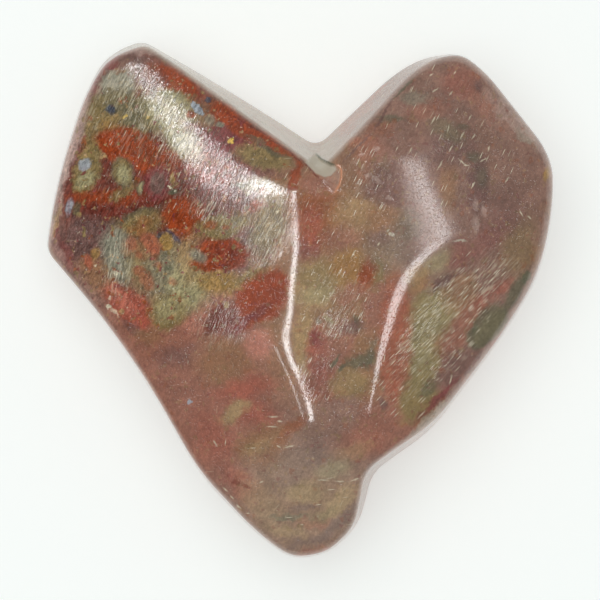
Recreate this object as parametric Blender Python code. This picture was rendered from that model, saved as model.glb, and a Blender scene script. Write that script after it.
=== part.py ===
"""Polychrome jasper heart.

A palm-size heart cut from one piece of stone. Broad faces are ground round a nearly level middle, steep walls stand
on the outline, and every edge is eased by hand, some crisply and some softly. It lies on a flat ground underneath.
X runs across the heart, Y points to the notch and Z is up. Lengths are in millimetres until the mesh is made.
"""

import math
from collections import namedtuple

import bmesh
import bpy
import numpy as np

# Driving dimensions, in millimetres
WIDTH = 75.6
LENGTH = 77.0
THICKNESS = 27.1

# Walls: height of the widest line, its easing, and the lean of the underside in degrees from upright
GIRDLE_HEIGHT = 10.0
GIRDLE_EASING = 1.5
UNDERSIDE_LEAN = 18.0
BASE_EASING = 2.0

# Easing of the edge between walls and crown, crisp on the left and soft on the right
CRISP_RIM = 1.3
SOFT_RIM = 2.6
RIM_CHANGE_START = 10.0
RIM_CHANGE_LENGTH = 16.0

# Easing inside the three hollow corners of the outline
NOTCH_EASING = 2.0
SIDE_HOLLOW_EASING = 2.0
TIP_HOLLOW_EASING = 1.5
GROUP_EASING = 1.0

# A run of walls: its corners, counter-clockwise, then each wall's lean in degrees from upright, and the easing
# of the corners between them
Run = namedtuple("Run", "corners leans easing")

LEFT_LOBE = Run(
    [(-23.6, 38.8), (-28.6, 37.0), (-31.6, 32.9), (-37.3, 14.9), (-37.9, 7.7)],
    [10.0, 8.0, 7.0, 7.0],
    2.0,
)
TIP_ROUND = Run(
    [(-14.8, -26.0), (-4.9, -36.5), (-0.8, -38.7), (1.7, -38.5), (5.6, -36.8)],
    [5.0, 6.0, 6.0, 6.0],
    2.0,
)
RIGHT_LOBE = Run(
    [(19.3, -19.3), (32.8, -1.6), (36.1, 5.3), (37.9, 18.7), (37.3, 21.5), (26.2, 35.5), (23.5, 36.8)],
    [5.0, 5.0, 4.0, 4.0, 4.0, 4.0],
    2.0,
)
NOTCH_LEFT = Run([(1.0, 23.9), (-7.4, 29.5), (-23.8, 38.7)], [12.0, 3.0], 1.0)
NOTCH_RIGHT = Run([(23.5, 36.8), (19.4, 36.8), (15.2, 35.2), (3.2, 23.8)], [4.0, 8.0, 12.5], 2.0)
SIDE_UPPER = Run([(-37.9, 7.7), (-25.6, -7.1)], [4.0], 1.0)
SIDE_LOWER = Run([(-25.6, -7.1), (-14.8, -26.0)], [4.0], 1.0)
TIP_SHOULDER = Run([(10.9, -25.3), (19.3, -19.3)], [7.0], 1.0)
TIP_RIGHT = Run([(5.6, -36.8), (8.6, -33.5), (9.8, -29.8), (11.0, -23.8)], [6.0, 6.0, 8.0], 1.0)

# A face of the crown: a point that it passes through, how far it falls for each millimetre along X and along Y,
# and the easing where it meets the faces above it in the list
Face = namedtuple("Face", "x y height fall_x fall_y easing")

# Middle, nearly level
MIDDLE_FACES = [
    Face(-1.2, 5.0, 27.0, 0.0, 0.0, 0.0),
    Face(12.2, -2.0, 27.0, 0.03, -0.062, 0.5),
    Face(12.6, 2.0, 27.15, 0.06, 0.075, 0.5),
]
# Left lobe: beside the middle, towards the lower left, the outer slope, and the broad bright facet
LEFT_FACES = [
    Face(-0.98, 2.3, 27.0, -0.15, 0.0135, 0.0),
    Face(-2.4, -6.8, 27.0, -0.225, -0.15, 0.45),
    Face(-13.6, 11.8, 25.0, -0.34, 0.042, 1.0),
    Face(-13.6, 11.8, 25.15, -0.18, 0.135, 0.28),
]
# Right lobe: towards the lower right, the hazy facet, the outer slope, and the slope to the top
RIGHT_FACES = [
    Face(13.1, 0.0, 27.1, 0.27, -0.11, 0.0),
    Face(17.2, 10.0, 26.39, 0.145, 0.075, 0.15),
    Face(22.6, 14.6, 24.85, 0.25, 0.15, 0.3),
    Face(18.5, 20.0, 25.37, 0.1, 0.27, 0.6),
]
# Two faces along the left side of the notch, which meet in a shallow hollow
NOTCH_FACES = [
    Face(-10.7, 21.0, 24.46, -0.058, 0.233, 0.0),
    Face(-6.3, 18.3, 25.55, -0.1, 0.315, 1.0),
]
NOTCH_FACES_EASING = 0.3
# The face that turns down to the tip
TIP_FACE = Face(4.1, -18.2, 26.4, 0.02, -0.36, 0.8)

# Easing of the two ridges beside the middle, which changes along Y: where the change starts, how long it is, and
# the easing before and after it
Ridge = namedtuple("Ridge", "start length before after")

LEFT_RIDGE = Ridge(-12.0, 12.0, 0.5, 0.2)
RIGHT_RIDGE = Ridge(-15.0, 17.0, 0.15, 0.7)

# Mesh: cuts across the starting cube and up its sides, the point that its corners are pushed out from, how much the
# cube is flattened first so that its top covers the crown, and how far the search for the surface reaches
CUTS_ACROSS = 41
CUTS_UPWARDS = 14
INNER_POINT = (-0.4, 3.2, 12.0)
FLATTENING = 0.4
LEVEL_TOLERANCE = 0.001
SEARCH_REACH = 70.0
SEARCH_STEPS = 40
MILLIMETRE = 0.001

STONE_COLOUR = (0.22, 0.075, 0.05, 1.0)
STONE_ROUGHNESS = 0.15


def clear_scene():
    for obj in list(bpy.data.objects):
        bpy.data.objects.remove(obj, do_unlink=True)


def eased_max(first, second, easing):
    """The larger distance, which cuts a body back to both, with the edge between them eased."""
    if easing == 0.0:
        return np.maximum(first, second)
    overlap = np.maximum(easing - np.abs(first - second), 0.0)
    return np.maximum(first, second) + overlap**2 / (4.0 * easing)


def eased_min(first, second, easing):
    """The smaller distance, which joins two bodies, with the hollow between them eased."""
    return -eased_max(-first, -second, easing)


def smooth_step(value):
    value = np.clip(value, 0.0, 1.0)
    return value * value * (3.0 - 2.0 * value)


def wall_distance(points, start, end, lean):
    """Distance outside one leaning plane that stands on the line from start to end at the girdle."""
    along_x = end[0] - start[0]
    along_y = end[1] - start[1]
    length = math.hypot(along_x, along_y)
    outwards = ((points[:, 0] - start[0]) * along_y - (points[:, 1] - start[1]) * along_x) / length
    above_girdle = points[:, 2] - GIRDLE_HEIGHT
    return outwards * math.cos(math.radians(lean)) + above_girdle * math.sin(math.radians(lean))


def run_distance(points, run):
    """Distance outside a run of walls, each leaning in above the girdle and tucked in under it."""
    distance = None
    for start, end, lean in zip(run.corners, run.corners[1:], run.leans):
        upper = wall_distance(points, start, end, lean)
        under = wall_distance(points, start, end, -UNDERSIDE_LEAN)
        wall = eased_max(upper, under, GIRDLE_EASING) - GIRDLE_EASING / 4.0
        distance = wall if distance is None else eased_max(distance, wall, run.easing)
    return distance


def outline_distance(points):
    """Distance outside the walls, with the hollow corners at the notch, the left side and beside the tip."""
    notch = eased_min(run_distance(points, NOTCH_LEFT), run_distance(points, NOTCH_RIGHT), NOTCH_EASING)
    side = eased_min(run_distance(points, SIDE_UPPER), run_distance(points, SIDE_LOWER), SIDE_HOLLOW_EASING)
    tip = eased_min(run_distance(points, TIP_SHOULDER), run_distance(points, TIP_RIGHT), TIP_HOLLOW_EASING)
    distance = run_distance(points, LEFT_LOBE)
    distance = eased_max(distance, run_distance(points, TIP_ROUND), LEFT_LOBE.easing)
    distance = eased_max(distance, run_distance(points, RIGHT_LOBE), RIGHT_LOBE.easing)
    for hollow in (notch, side, tip):
        distance = eased_max(distance, hollow, GROUP_EASING)
    return distance


def face_distance(points, face):
    """Distance above one face of the crown."""
    normal = np.array((face.fall_x, face.fall_y, 1.0))
    normal /= np.linalg.norm(normal)
    return (points - np.array((face.x, face.y, face.height))) @ normal


def faces_distance(points, faces):
    """Distance above a group of faces."""
    group = None
    for face in faces:
        distance = face_distance(points, face)
        group = distance if group is None else eased_max(group, distance, face.easing)
    return group


def over_ridge(points, first, second, ridge):
    """Two groups of faces that meet in a ridge, crisper in some places than in others."""
    easing = ridge.before + (ridge.after - ridge.before) * smooth_step((points[:, 1] - ridge.start) / ridge.length)
    overlap = np.maximum(easing - np.abs(first - second), 0.0)
    return np.maximum(first, second) + overlap**2 / (4.0 * easing)


def crown_distance(points):
    """Distance above the crown, made of all its faces."""
    middle = faces_distance(points, MIDDLE_FACES)
    crown = over_ridge(points, middle, faces_distance(points, LEFT_FACES), LEFT_RIDGE)
    crown = over_ridge(points, crown, faces_distance(points, RIGHT_FACES), RIGHT_RIDGE)
    outer, inner = NOTCH_FACES
    beside_notch = eased_min(face_distance(points, outer), face_distance(points, inner), inner.easing)
    crown = eased_max(crown, beside_notch, NOTCH_FACES_EASING)
    return eased_max(crown, face_distance(points, TIP_FACE), TIP_FACE.easing)


def stone_distance(points):
    """How far each point is outside the stone, negative inside it."""
    rim_easing = CRISP_RIM + (SOFT_RIM - CRISP_RIM) * smooth_step((points[:, 0] - RIM_CHANGE_START) / RIM_CHANGE_LENGTH)
    outline = outline_distance(points)
    crown = crown_distance(points)
    overlap = np.maximum(rim_easing - np.abs(outline - crown), 0.0)
    body = np.maximum(outline, crown) + overlap**2 / (4.0 * rim_easing)
    return eased_max(body, -points[:, 2], BASE_EASING)


def push_to_surface(directions):
    """Each direction's point on the stone's surface, found by halving the span between inside and outside."""
    origin = np.array(INNER_POINT)
    inside = np.zeros(len(directions))
    outside = np.full(len(directions), SEARCH_REACH)
    for _ in range(SEARCH_STEPS):
        middle = (inside + outside) / 2.0
        is_inside = stone_distance(origin + directions * middle[:, None]) < 0.0
        inside = np.where(is_inside, middle, inside)
        outside = np.where(is_inside, outside, middle)
    return origin + directions * inside[:, None]


def fit_to_size(points):
    """The points scaled to the driving dimensions, with the middle of the base at the origin."""
    low = points.min(axis=0)
    high = points.max(axis=0)
    middle = (low + high) / 2.0
    middle[2] = low[2]
    return (points - middle) * (np.array((WIDTH, LENGTH, THICKNESS)) / (high - low))


def edge_rise(edge):
    return abs(edge.verts[0].co.z - edge.verts[1].co.z)


def make_heart_mesh():
    bm = bmesh.new()
    bmesh.ops.create_cube(bm, size=2.0)
    upright = [edge for edge in bm.edges if edge_rise(edge) > LEVEL_TOLERANCE]
    bmesh.ops.subdivide_edges(bm, edges=upright, cuts=CUTS_UPWARDS, use_grid_fill=True)
    level = [edge for edge in bm.edges if edge_rise(edge) < LEVEL_TOLERANCE]
    bmesh.ops.subdivide_edges(bm, edges=level, cuts=CUTS_ACROSS, use_grid_fill=True)
    corners = np.array([vert.co for vert in bm.verts])
    # Equal angles instead of equal steps keep the squares alike from the middle of a side to its edge
    directions = np.tan(corners * math.pi / 4.0)
    directions[:, 2] *= FLATTENING
    directions /= np.linalg.norm(directions, axis=1)[:, None]
    points = fit_to_size(push_to_surface(directions)) * MILLIMETRE
    for vert, point in zip(bm.verts, points):
        vert.co = point
    bmesh.ops.recalc_face_normals(bm, faces=bm.faces[:])
    mesh = bpy.data.meshes.new("heart")
    bm.to_mesh(mesh)
    bm.free()
    mesh.shade_smooth()
    return mesh


def make_stone_material():
    material = bpy.data.materials.new("polished jasper")
    material.use_nodes = True
    shader = material.node_tree.nodes["Principled BSDF"]
    shader.inputs["Base Color"].default_value = STONE_COLOUR
    shader.inputs["Roughness"].default_value = STONE_ROUGHNESS
    shader.inputs["Metallic"].default_value = 0.0
    return material


def main():
    clear_scene()
    collection = bpy.data.collections.new("polychrome jasper heart")
    bpy.context.scene.collection.children.link(collection)
    heart = bpy.data.objects.new("heart", make_heart_mesh())
    heart.data.materials.append(make_stone_material())
    collection.objects.link(heart)


if __name__ == "__main__":
    main()
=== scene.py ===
"""The looks of a polychrome jasper heart, laid out as a Blender add-on and run as a script.

The heart is one polished stone that lies on a plain pale floor under soft light. Shapes and markings are
given in millimetres, in the part's own frame: X runs across the heart, Y points to the notch and Z is up.
"""

import math
from collections import namedtuple

import bmesh
import bpy
import numpy as np
from bpy.props import FloatProperty, FloatVectorProperty, IntProperty, PointerProperty
from mathutils import Matrix, Vector


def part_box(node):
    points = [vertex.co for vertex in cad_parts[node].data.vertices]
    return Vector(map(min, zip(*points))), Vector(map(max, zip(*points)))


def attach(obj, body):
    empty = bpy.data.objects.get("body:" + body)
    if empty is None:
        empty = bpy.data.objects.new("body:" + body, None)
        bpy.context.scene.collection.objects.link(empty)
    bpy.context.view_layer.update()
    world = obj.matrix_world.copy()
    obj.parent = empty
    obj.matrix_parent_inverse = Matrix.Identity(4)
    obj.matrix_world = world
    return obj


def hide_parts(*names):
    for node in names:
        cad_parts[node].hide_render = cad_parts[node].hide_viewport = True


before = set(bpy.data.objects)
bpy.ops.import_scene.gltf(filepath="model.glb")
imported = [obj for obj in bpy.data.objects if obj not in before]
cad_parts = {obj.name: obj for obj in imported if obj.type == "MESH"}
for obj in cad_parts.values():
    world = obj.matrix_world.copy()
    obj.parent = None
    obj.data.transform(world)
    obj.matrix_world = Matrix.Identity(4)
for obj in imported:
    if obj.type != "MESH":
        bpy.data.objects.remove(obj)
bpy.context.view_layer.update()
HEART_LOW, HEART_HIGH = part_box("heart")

bl_info = {
    "name": "Polychrome Jasper Heart",
    "version": (1, 0, 0),
    "blender": (4, 5, 0),
    "location": "View3D > Sidebar > Jasper Heart",
    "description": "Cuts, polishes and lights a heart of polychrome jasper",
    "category": "Add Mesh",
}

MILLIMETRE = 0.001

# Walls: height of the widest line, its easing, and the lean of the underside in degrees from upright
GIRDLE_HEIGHT = 10.0
GIRDLE_EASING = 1.5
UNDERSIDE_LEAN = 18.0
BASE_EASING = 2.0

# Easing of the edge between walls and crown, crisp on the left and soft on the right
CRISP_RIM = 1.3
SOFT_RIM = 2.6
RIM_CHANGE_START = 10.0
RIM_CHANGE_LENGTH = 16.0

# Easing inside the three hollow corners of the outline
NOTCH_EASING = 2.0
SIDE_HOLLOW_EASING = 2.0
TIP_HOLLOW_EASING = 1.5
GROUP_EASING = 1.0

# A run of walls: its corners, counter-clockwise, then each wall's lean in degrees from upright, and the
# easing of the corners between them
Run = namedtuple("Run", "corners leans easing")

LEFT_LOBE = Run(
    [(-23.6, 38.8), (-28.6, 37.0), (-31.6, 32.9), (-37.3, 14.9), (-37.9, 7.7)],
    [10.0, 8.0, 7.0, 7.0],
    2.0,
)
TIP_ROUND = Run(
    [(-14.8, -26.0), (-4.9, -36.5), (-0.8, -38.7), (1.7, -38.5), (5.6, -36.8)],
    [5.0, 6.0, 6.0, 6.0],
    2.0,
)
RIGHT_LOBE = Run(
    [(19.3, -19.3), (32.8, -1.6), (36.1, 5.3), (37.9, 18.7), (37.3, 21.5), (26.2, 35.5), (23.5, 36.8)],
    [5.0, 5.0, 4.0, 4.0, 4.0, 4.0],
    2.0,
)
NOTCH_LEFT = Run([(1.0, 23.9), (-7.4, 29.5), (-23.8, 38.7)], [12.0, 3.0], 1.0)
NOTCH_RIGHT = Run([(23.5, 36.8), (19.4, 36.8), (15.2, 35.2), (3.2, 23.8)], [4.0, 8.0, 12.5], 2.0)
SIDE_UPPER = Run([(-37.9, 7.7), (-25.6, -7.1)], [4.0], 1.0)
SIDE_LOWER = Run([(-25.6, -7.1), (-14.8, -26.0)], [4.0], 1.0)
TIP_SHOULDER = Run([(10.9, -25.3), (19.3, -19.3)], [7.0], 1.0)
TIP_RIGHT = Run([(5.6, -36.8), (8.6, -33.5), (9.8, -29.8), (11.0, -23.8)], [6.0, 6.0, 8.0], 1.0)

# A face of the crown: a point that it passes through, how far it falls for each millimetre along X and along
# Y, and the easing where it meets the faces above it in the list
Face = namedtuple("Face", "x y height fall_x fall_y easing")

# Middle, nearly level
MIDDLE_FACES = [
    Face(-1.2, 5.0, 27.0, 0.0, 0.0, 0.0),
    Face(12.2, -2.0, 27.0, 0.03, -0.062, 0.5),
    Face(12.6, 2.0, 27.15, 0.06, 0.075, 0.5),
]
# Left lobe: beside the middle, towards the lower left, the outer slope, and the broad bright facet
LEFT_FACES = [
    Face(-0.98, 2.3, 27.0, -0.15, 0.0135, 0.0),
    Face(-2.4, -6.8, 27.0, -0.225, -0.15, 0.45),
    Face(-13.6, 11.8, 25.0, -0.34, 0.042, 1.0),
    Face(-13.6, 11.8, 25.15, -0.18, 0.135, 0.28),
]
# Right lobe: towards the lower right, the hazy facet, the outer slope, and the slope to the top
RIGHT_FACES = [
    Face(13.1, 0.0, 27.1, 0.27, -0.11, 0.0),
    Face(17.2, 10.0, 26.39, 0.145, 0.075, 0.15),
    Face(22.6, 14.6, 24.85, 0.25, 0.15, 0.3),
    Face(18.5, 20.0, 25.37, 0.1, 0.27, 0.6),
]
# Two faces along the left side of the notch, which meet in a shallow hollow
NOTCH_FACES = [
    Face(-10.7, 21.0, 24.46, -0.058, 0.233, 0.0),
    Face(-6.3, 18.3, 25.55, -0.1, 0.315, 1.0),
]
NOTCH_FACES_EASING = 0.3
# The face that turns down to the tip
TIP_FACE = Face(4.1, -18.2, 26.4, 0.02, -0.36, 0.8)

# Easing of the two ridges beside the middle, which changes along Y: where the change starts, how long it is,
# and the easing before and after it
Ridge = namedtuple("Ridge", "start length before after")

LEFT_RIDGE = Ridge(-12.0, 12.0, 0.5, 0.2)
RIGHT_RIDGE = Ridge(-15.0, 17.0, 0.15, 0.7)

# The point that the starting cube is pushed out from, how much the cube is flattened first so that its top
# covers the crown, and how far the search for the surface reaches
INNER_POINT = (-0.4, 3.2, 12.0)
FLATTENING = 0.4
LEVEL_TOLERANCE = 0.0001
SEARCH_REACH = 70.0
SEARCH_STEPS = 26

# Ripples that add up to the grinding waves: heading in radians, length compared with the setting, and phase
RIPPLES = [(0.4, 1.0, 0.3), (1.3, 0.8, 1.9), (2.2, 1.25, 4.0), (2.9, 0.6, 5.1)]
RIPPLE_SLANT = 0.5

# Flake missing at the bottom of the notch: the line of its broken edge, with the flake on its left, and the
# outline of the raw stone beside that edge, clockwise
BREAK_EDGE = [
    (1.9, 22.0), (2.5, 21.4), (3.0, 20.9), (3.6, 20.5), (4.4, 20.0), (5.1, 19.85),
    (5.6, 19.7), (5.9, 19.0), (5.9, 18.0), (5.6, 16.9), (5.1, 16.0), (4.4, 15.3),
]
RAW_OUTLINE = [
    (2.5, 21.4), (3.0, 20.9), (3.6, 20.5), (4.4, 20.0), (5.1, 19.8), (5.2, 19.1),
    (4.4, 18.2), (3.4, 18.0), (2.1, 18.6), (0.6, 20.2), (1.5, 21.4), (2.5, 21.4),
]
BREAK_REACH = 3.2
BREAK_STEP = 0.08
# Shares of the broken edge over which the step and the paint of its rim fade at the two ends; the rim's paint
# is painted shade in the crack and a pale lip that is partly a painted glint
BREAK_STEP_ENDS = (0.2, 0.35)
BREAK_RIM_ENDS = (0.08, 0.15)
BREAK_RIM_WIDTH = 0.15
# Share of the break's depth at which its floor is fully dull
BREAK_DULL_SHARE = 0.2
# Squares near the break are cut finer: its middle, how far under the stone's top that is, how far the finer
# squares reach at a distance from the inner point, and the number of cuts
BREAK_MIDDLE = (4.0, 19.0)
BREAK_UNDER_TOP = 2.0
BREAK_FINE_REACH = 5.5
BREAK_FINE_DISTANCE = 20.0
BREAK_FINE_CUTS = 3

# Fades of the paint of the raw stone and of the painted reflection on the walls, in millimetres: where each
# starts and how long it is
RAW_FADE = (-0.09, 0.3)
OVER_BASE = (1.0, 10.0)
UP_THE_WALL = (4.0, 14.0)
INTO_WALL = (-0.36, 1.2)
INTO_NOTCH_WALL = (-0.8, 2.0)
PAST_NOTCH_EDGE = (-0.5, 1.0)
# The painted reflection on the notch's right wall is weaker than on its left one, more so towards the top of
# the lobe
RIGHT_OF_NOTCH = (3.0, 4.0)
UP_THE_LOBE = (22.0, 9.0)
RIGHT_LESS_PALE = (0.65, 0.25)
RIGHT_LESS_SHEEN = 0.6
# Share of a zone's reach at which it starts to fade, and the share over which it does
ZONE_FADE = (0.6, 0.6)

# Grinding marks come in families that share a heading, in degrees from X. Each family has zones: the zone's
# middle, its reach, its turn, the share of places in it that hold a scratch, how strongly it is brushed with
# fine grooves, and how strongly the grooves carry painted highlight streaks
Zone = namedtuple("Zone", "x y long wide turn share brush pale")

FAMILIES = {
    64: [
        Zone(-16.0, 21.5, 15.0, 6.5, -52, 0.05, 1.0, 0.2),
        Zone(-19.0, 25.5, 7.0, 3.2, -52, 0.1, 0.0, 1.0),
        Zone(-22.5, 28.5, 5.5, 3.5, -40, 0.05, 0.3, 0.6),
        Zone(-23.5, 32.5, 3.6, 3.2, 0, 0.05, 1.0, 0.2),
        Zone(-27.5, 31.5, 3.5, 3.5, 0, 0.05, 0.3, 0.6),
        Zone(-31.0, 26.5, 1.8, 3.0, -10, 0.05, 0.3, 0.5),
        Zone(-24.0, 24.0, 6.0, 3.0, -15, 0.16, 0.3, 0.25),
        Zone(-24.0, 17.0, 9.0, 5.0, 0, 0.06, 0.15, 0.15),
        Zone(-13.5, 13.5, 3.0, 2.0, 10, 0.1, 0.5, 0.8),
        Zone(-4.8, 10.5, 3.4, 6.0, -15, 0.12, 0.7, 0.9),
        Zone(5.5, -0.5, 5.5, 6.5, 0, 0.22, 0.2, 0.2),
        Zone(4.5, -3.2, 3.0, 2.6, 0, 0.3, 0.25, 0.5),
        Zone(-12.0, -3.5, 4.0, 4.0, 0, 0.14, 0.6, 0.35),
        Zone(2.5, -11.0, 3.0, 4.5, 0, 0.28, 0.3, 0.25),
        Zone(20.0, 24.0, 14.0, 14.0, 0, 0.07, 0.06, 0.06),
        Zone(24.0, 22.0, 6.5, 9.0, 0, 0.1, 0.0, 0.0),
        Zone(5.0, 13.0, 9.0, 9.0, 0, 0.1, 0.06, 0.1),
        Zone(8.0, 20.0, 3.0, 5.0, 0, 0.12, 0.0, 0.1),
    ],
    46: [
        Zone(20.5, -4.5, 15.0, 5.2, 52, 0.6, 0.3, 0.3),
        Zone(18.0, -3.0, 8.0, 2.6, 60, 0.3, 0.3, 0.35),
        Zone(28.0, 3.0, 5.0, 3.0, 40, 0.14, 0.1, 0.4),
    ],
    82: [
        Zone(-27.0, 5.5, 2.4, 5.0, 0, 0.3, 0.4, 0.9),
        Zone(-13.0, -14.0, 8.0, 10.0, 0, 0.04, 0.05, 0.0),
        Zone(13.0, -9.0, 3.0, 7.0, 0, 0.05, 0.05, 0.0),
    ],
    5: [
        Zone(-4.0, -19.5, 6.0, 3.5, 0, 0.03, 0.05, 0.0),
        Zone(5.0, -26.5, 4.5, 1.5, 8, 0.16, 0.05, 0.1),
        Zone(0.0, -30.0, 9.0, 7.0, 0, 0.03, 0.05, 0.0),
    ],
}
# The hazy patch on the right lobe, and the left lobe, where the stone is full of flecks
HAZE = Zone(20.5, 16.0, 6.0, 10.0, 0, 0.0, 0.0, 0.0)
FLECKED = Zone(-20.0, 15.0, 20.0, 20.0, 0, 0.0, 0.0, 0.0)


def amount(name, description, default, low=0.0, high=1000.0, unit="NONE"):
    return FloatProperty(name=name, description=description, default=default, min=low, max=high, unit=unit)


def cuts(name, description, default, low, high):
    return IntProperty(name=name, description=description, default=default, min=low, max=high)


def colour_property(name, description, colour):
    return FloatVectorProperty(
        name=name, description=description, default=colour, size=3, min=0.0, max=1.0, subtype="COLOR_GAMMA"
    )


class StoneSettings(bpy.types.PropertyGroup):
    """Sizes of the stone's surface"""

    cuts_across: cuts("Cuts across", "Cuts across the cube that becomes the stone", 154, 8, 190)
    cuts_upwards: cuts("Cuts upwards", "Cuts up the sides of the cube that becomes the stone", 46, 4, 80)
    wave_height: amount("Wave height", "Height of the grinding waves, in millimetres", 0.008, high=0.3)
    wave_length: amount("Wave length", "Distance between the waves, in millimetres", 7.0, 1.0, 40.0)
    break_depth: amount("Break depth", "Depth of the flake that is missing, in millimetres", 0.45, high=2.0)


class JasperSettings(bpy.types.PropertyGroup):
    """Colours and polish of the jasper"""

    brick: colour_property("Brick", "Clear brick red", (0.66, 0.285, 0.14))
    deep_red: colour_property("Deep red", "Red of the dark bands", (0.50, 0.22, 0.17))
    maroon: colour_property("Maroon", "Near-purple red round the orbs", (0.57, 0.28, 0.28))
    orange: colour_property("Orange", "Pale orange red of the broken pieces", (0.74, 0.42, 0.31))
    rose: colour_property("Rose", "Dusty red of the lower left", (0.69, 0.46, 0.38))
    rose_red: colour_property("Rose red", "Clear red in the dusty ground", (0.74, 0.38, 0.30))
    pink: colour_property("Pink", "Pale pink of the round patch beside the bright line", (0.86, 0.58, 0.50))
    rust: colour_property("Rust", "Orange brown of the small flames", (0.66, 0.36, 0.20))
    mauve: colour_property("Mauve", "Mauve brown of the right lobe", (0.63, 0.48, 0.42))
    plum: colour_property("Plum", "Dark mauve of the thin bands", (0.52, 0.38, 0.35))
    umber: colour_property("Umber", "Warm brown between the colours", (0.67, 0.49, 0.35))
    tan: colour_property("Tan", "Pale warm brown", (0.75, 0.61, 0.43))
    olive: colour_property("Olive", "Olive green brown", (0.60, 0.51, 0.33))
    ochre: colour_property("Ochre", "Yellow ochre of the small orbs", (0.71, 0.56, 0.32))
    sand: colour_property("Sand", "Pale green tan", (0.72, 0.68, 0.51))
    slate: colour_property("Slate", "Grey green", (0.60, 0.59, 0.51))
    moss: colour_property("Moss", "Dark green grey", (0.42, 0.42, 0.33))
    leaf: colour_property("Leaf", "Green brown of the leaf-shaped patch", (0.51, 0.47, 0.36))
    ink: colour_property("Ink", "Blue black of the small spots", (0.29, 0.33, 0.40))
    sky: colour_property("Sky", "Blue grey of the agate specks", (0.70, 0.73, 0.77))
    # Cream also colours the painted highlight streaks along the grooves, and the scratches, whose paleness is
    # partly a painted glint
    cream: colour_property("Cream", "Cream of quartz flecks and scratches", (0.97, 0.92, 0.80))
    gold: colour_property("Gold", "Strong yellow of a few dots", (0.97, 0.80, 0.38))
    # Rim colours the painted reflection on the walls and on the pale rims, where they mirror the bright floor
    # and tent at a grazing angle; a few small marks on the crown use it too
    rim: colour_property("Rim", "Pale dusty rose of the worn rim", (0.86, 0.74, 0.69))
    # Raw is the broken stone's own colour at the notch with a painted reflection in it; it also colours the
    # painted reflection on the notch's walls and on the edge beside the tip, the painted highlight of a spur
    # on the right lobe, and a few other marks
    raw: colour_property("Raw", "Grey green of the broken stone at the notch", (0.82, 0.78, 0.70))
    # Raw rim colours the pale lip of the break, part its own colour and part a painted glint
    raw_rim: colour_property("Raw rim", "Orange cream of the thin rim of the break", (0.96, 0.66, 0.50))
    groove_depth: amount("Groove depth", "Depth of the fine grinding grooves, in millimetres", 0.1, high=0.2)
    pit_depth: amount("Pit depth", "Depth of the pits between the grains, in millimetres", 0.011, high=0.2)


class StageSettings(bpy.types.PropertyGroup):
    """Floor, light and camera"""

    floor_colour: colour_property("Floor", "Colour of the floor", (0.945, 0.962, 0.955))
    floor_glow: amount("Floor glow", "Light that comes up through the white table", 0.47)
    tent_strength: amount("Tent strength", "Brightness of the white tent all round", 0.35)
    overhead_power: amount("Overhead power", "Power of the broad light overhead", 5.5, unit="POWER")
    mirrored_power: amount("Mirrored power", "Power of the lights that the polish mirrors", 4.6, unit="POWER")
    camera_height: amount("Camera height", "Height above the widest line", 0.65, 0.2, unit="LENGTH")
    frame_width: amount("Frame width", "Width of the view at the widest line", 0.09, 0.02, unit="LENGTH")


# The stone's shape

def eased_max(first, second, easing):
    """The larger distance, which cuts a body back to both. The edge between them is eased by one amount, or
    by an amount for each point."""
    if np.all(easing == 0.0):
        return np.maximum(first, second)
    overlap = np.maximum(easing - np.abs(first - second), 0.0)
    return np.maximum(first, second) + overlap**2 / (4.0 * easing)


def eased_min(first, second, easing):
    """The smaller distance, which joins two bodies, with the hollow between them eased."""
    return -eased_max(-first, -second, easing)


def smooth_rise(value, start, length):
    """A smooth change from 0 at the start to 1 after the length."""
    share = np.clip((value - start) / length, 0.0, 1.0)
    return share * share * (3.0 - 2.0 * share)


def wall_distance(points, start, end, lean):
    """Distance outside one leaning plane that stands on the line from start to end at the girdle."""
    along_x = end[0] - start[0]
    along_y = end[1] - start[1]
    length = math.hypot(along_x, along_y)
    outwards = ((points[:, 0] - start[0]) * along_y - (points[:, 1] - start[1]) * along_x) / length
    above_girdle = points[:, 2] - GIRDLE_HEIGHT
    return outwards * math.cos(math.radians(lean)) + above_girdle * math.sin(math.radians(lean))


def run_distance(points, run):
    """Distance outside a run of walls, each leaning in above the girdle and tucked in under it."""
    distance = None
    for start, end, lean in zip(run.corners, run.corners[1:], run.leans):
        upper = wall_distance(points, start, end, lean)
        under = wall_distance(points, start, end, -UNDERSIDE_LEAN)
        wall = eased_max(upper, under, GIRDLE_EASING) - GIRDLE_EASING / 4.0
        distance = wall if distance is None else eased_max(distance, wall, run.easing)
    return distance


def notch_distance(points):
    """Distance outside the two walls of the notch."""
    return eased_min(run_distance(points, NOTCH_LEFT), run_distance(points, NOTCH_RIGHT), NOTCH_EASING)


def outline_distance(points):
    """Distance outside the walls, with the hollow corners at the notch, the left side and beside the tip."""
    notch = notch_distance(points)
    side = eased_min(run_distance(points, SIDE_UPPER), run_distance(points, SIDE_LOWER), SIDE_HOLLOW_EASING)
    tip = eased_min(run_distance(points, TIP_SHOULDER), run_distance(points, TIP_RIGHT), TIP_HOLLOW_EASING)
    distance = run_distance(points, LEFT_LOBE)
    distance = eased_max(distance, run_distance(points, TIP_ROUND), LEFT_LOBE.easing)
    distance = eased_max(distance, run_distance(points, RIGHT_LOBE), RIGHT_LOBE.easing)
    for hollow in (notch, side, tip):
        distance = eased_max(distance, hollow, GROUP_EASING)
    return distance


def face_distance(points, face):
    """Distance above one face of the crown."""
    normal = np.array((face.fall_x, face.fall_y, 1.0))
    normal /= np.linalg.norm(normal)
    return (points - np.array((face.x, face.y, face.height))) @ normal


def faces_distance(points, faces):
    """Distance above a group of faces."""
    group = None
    for face in faces:
        distance = face_distance(points, face)
        group = distance if group is None else eased_max(group, distance, face.easing)
    return group


def over_ridge(points, first, second, ridge):
    """Two groups of faces that meet in a ridge, crisper in some places than in others."""
    change = smooth_rise(points[:, 1], ridge.start, ridge.length)
    return eased_max(first, second, ridge.before + (ridge.after - ridge.before) * change)


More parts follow.
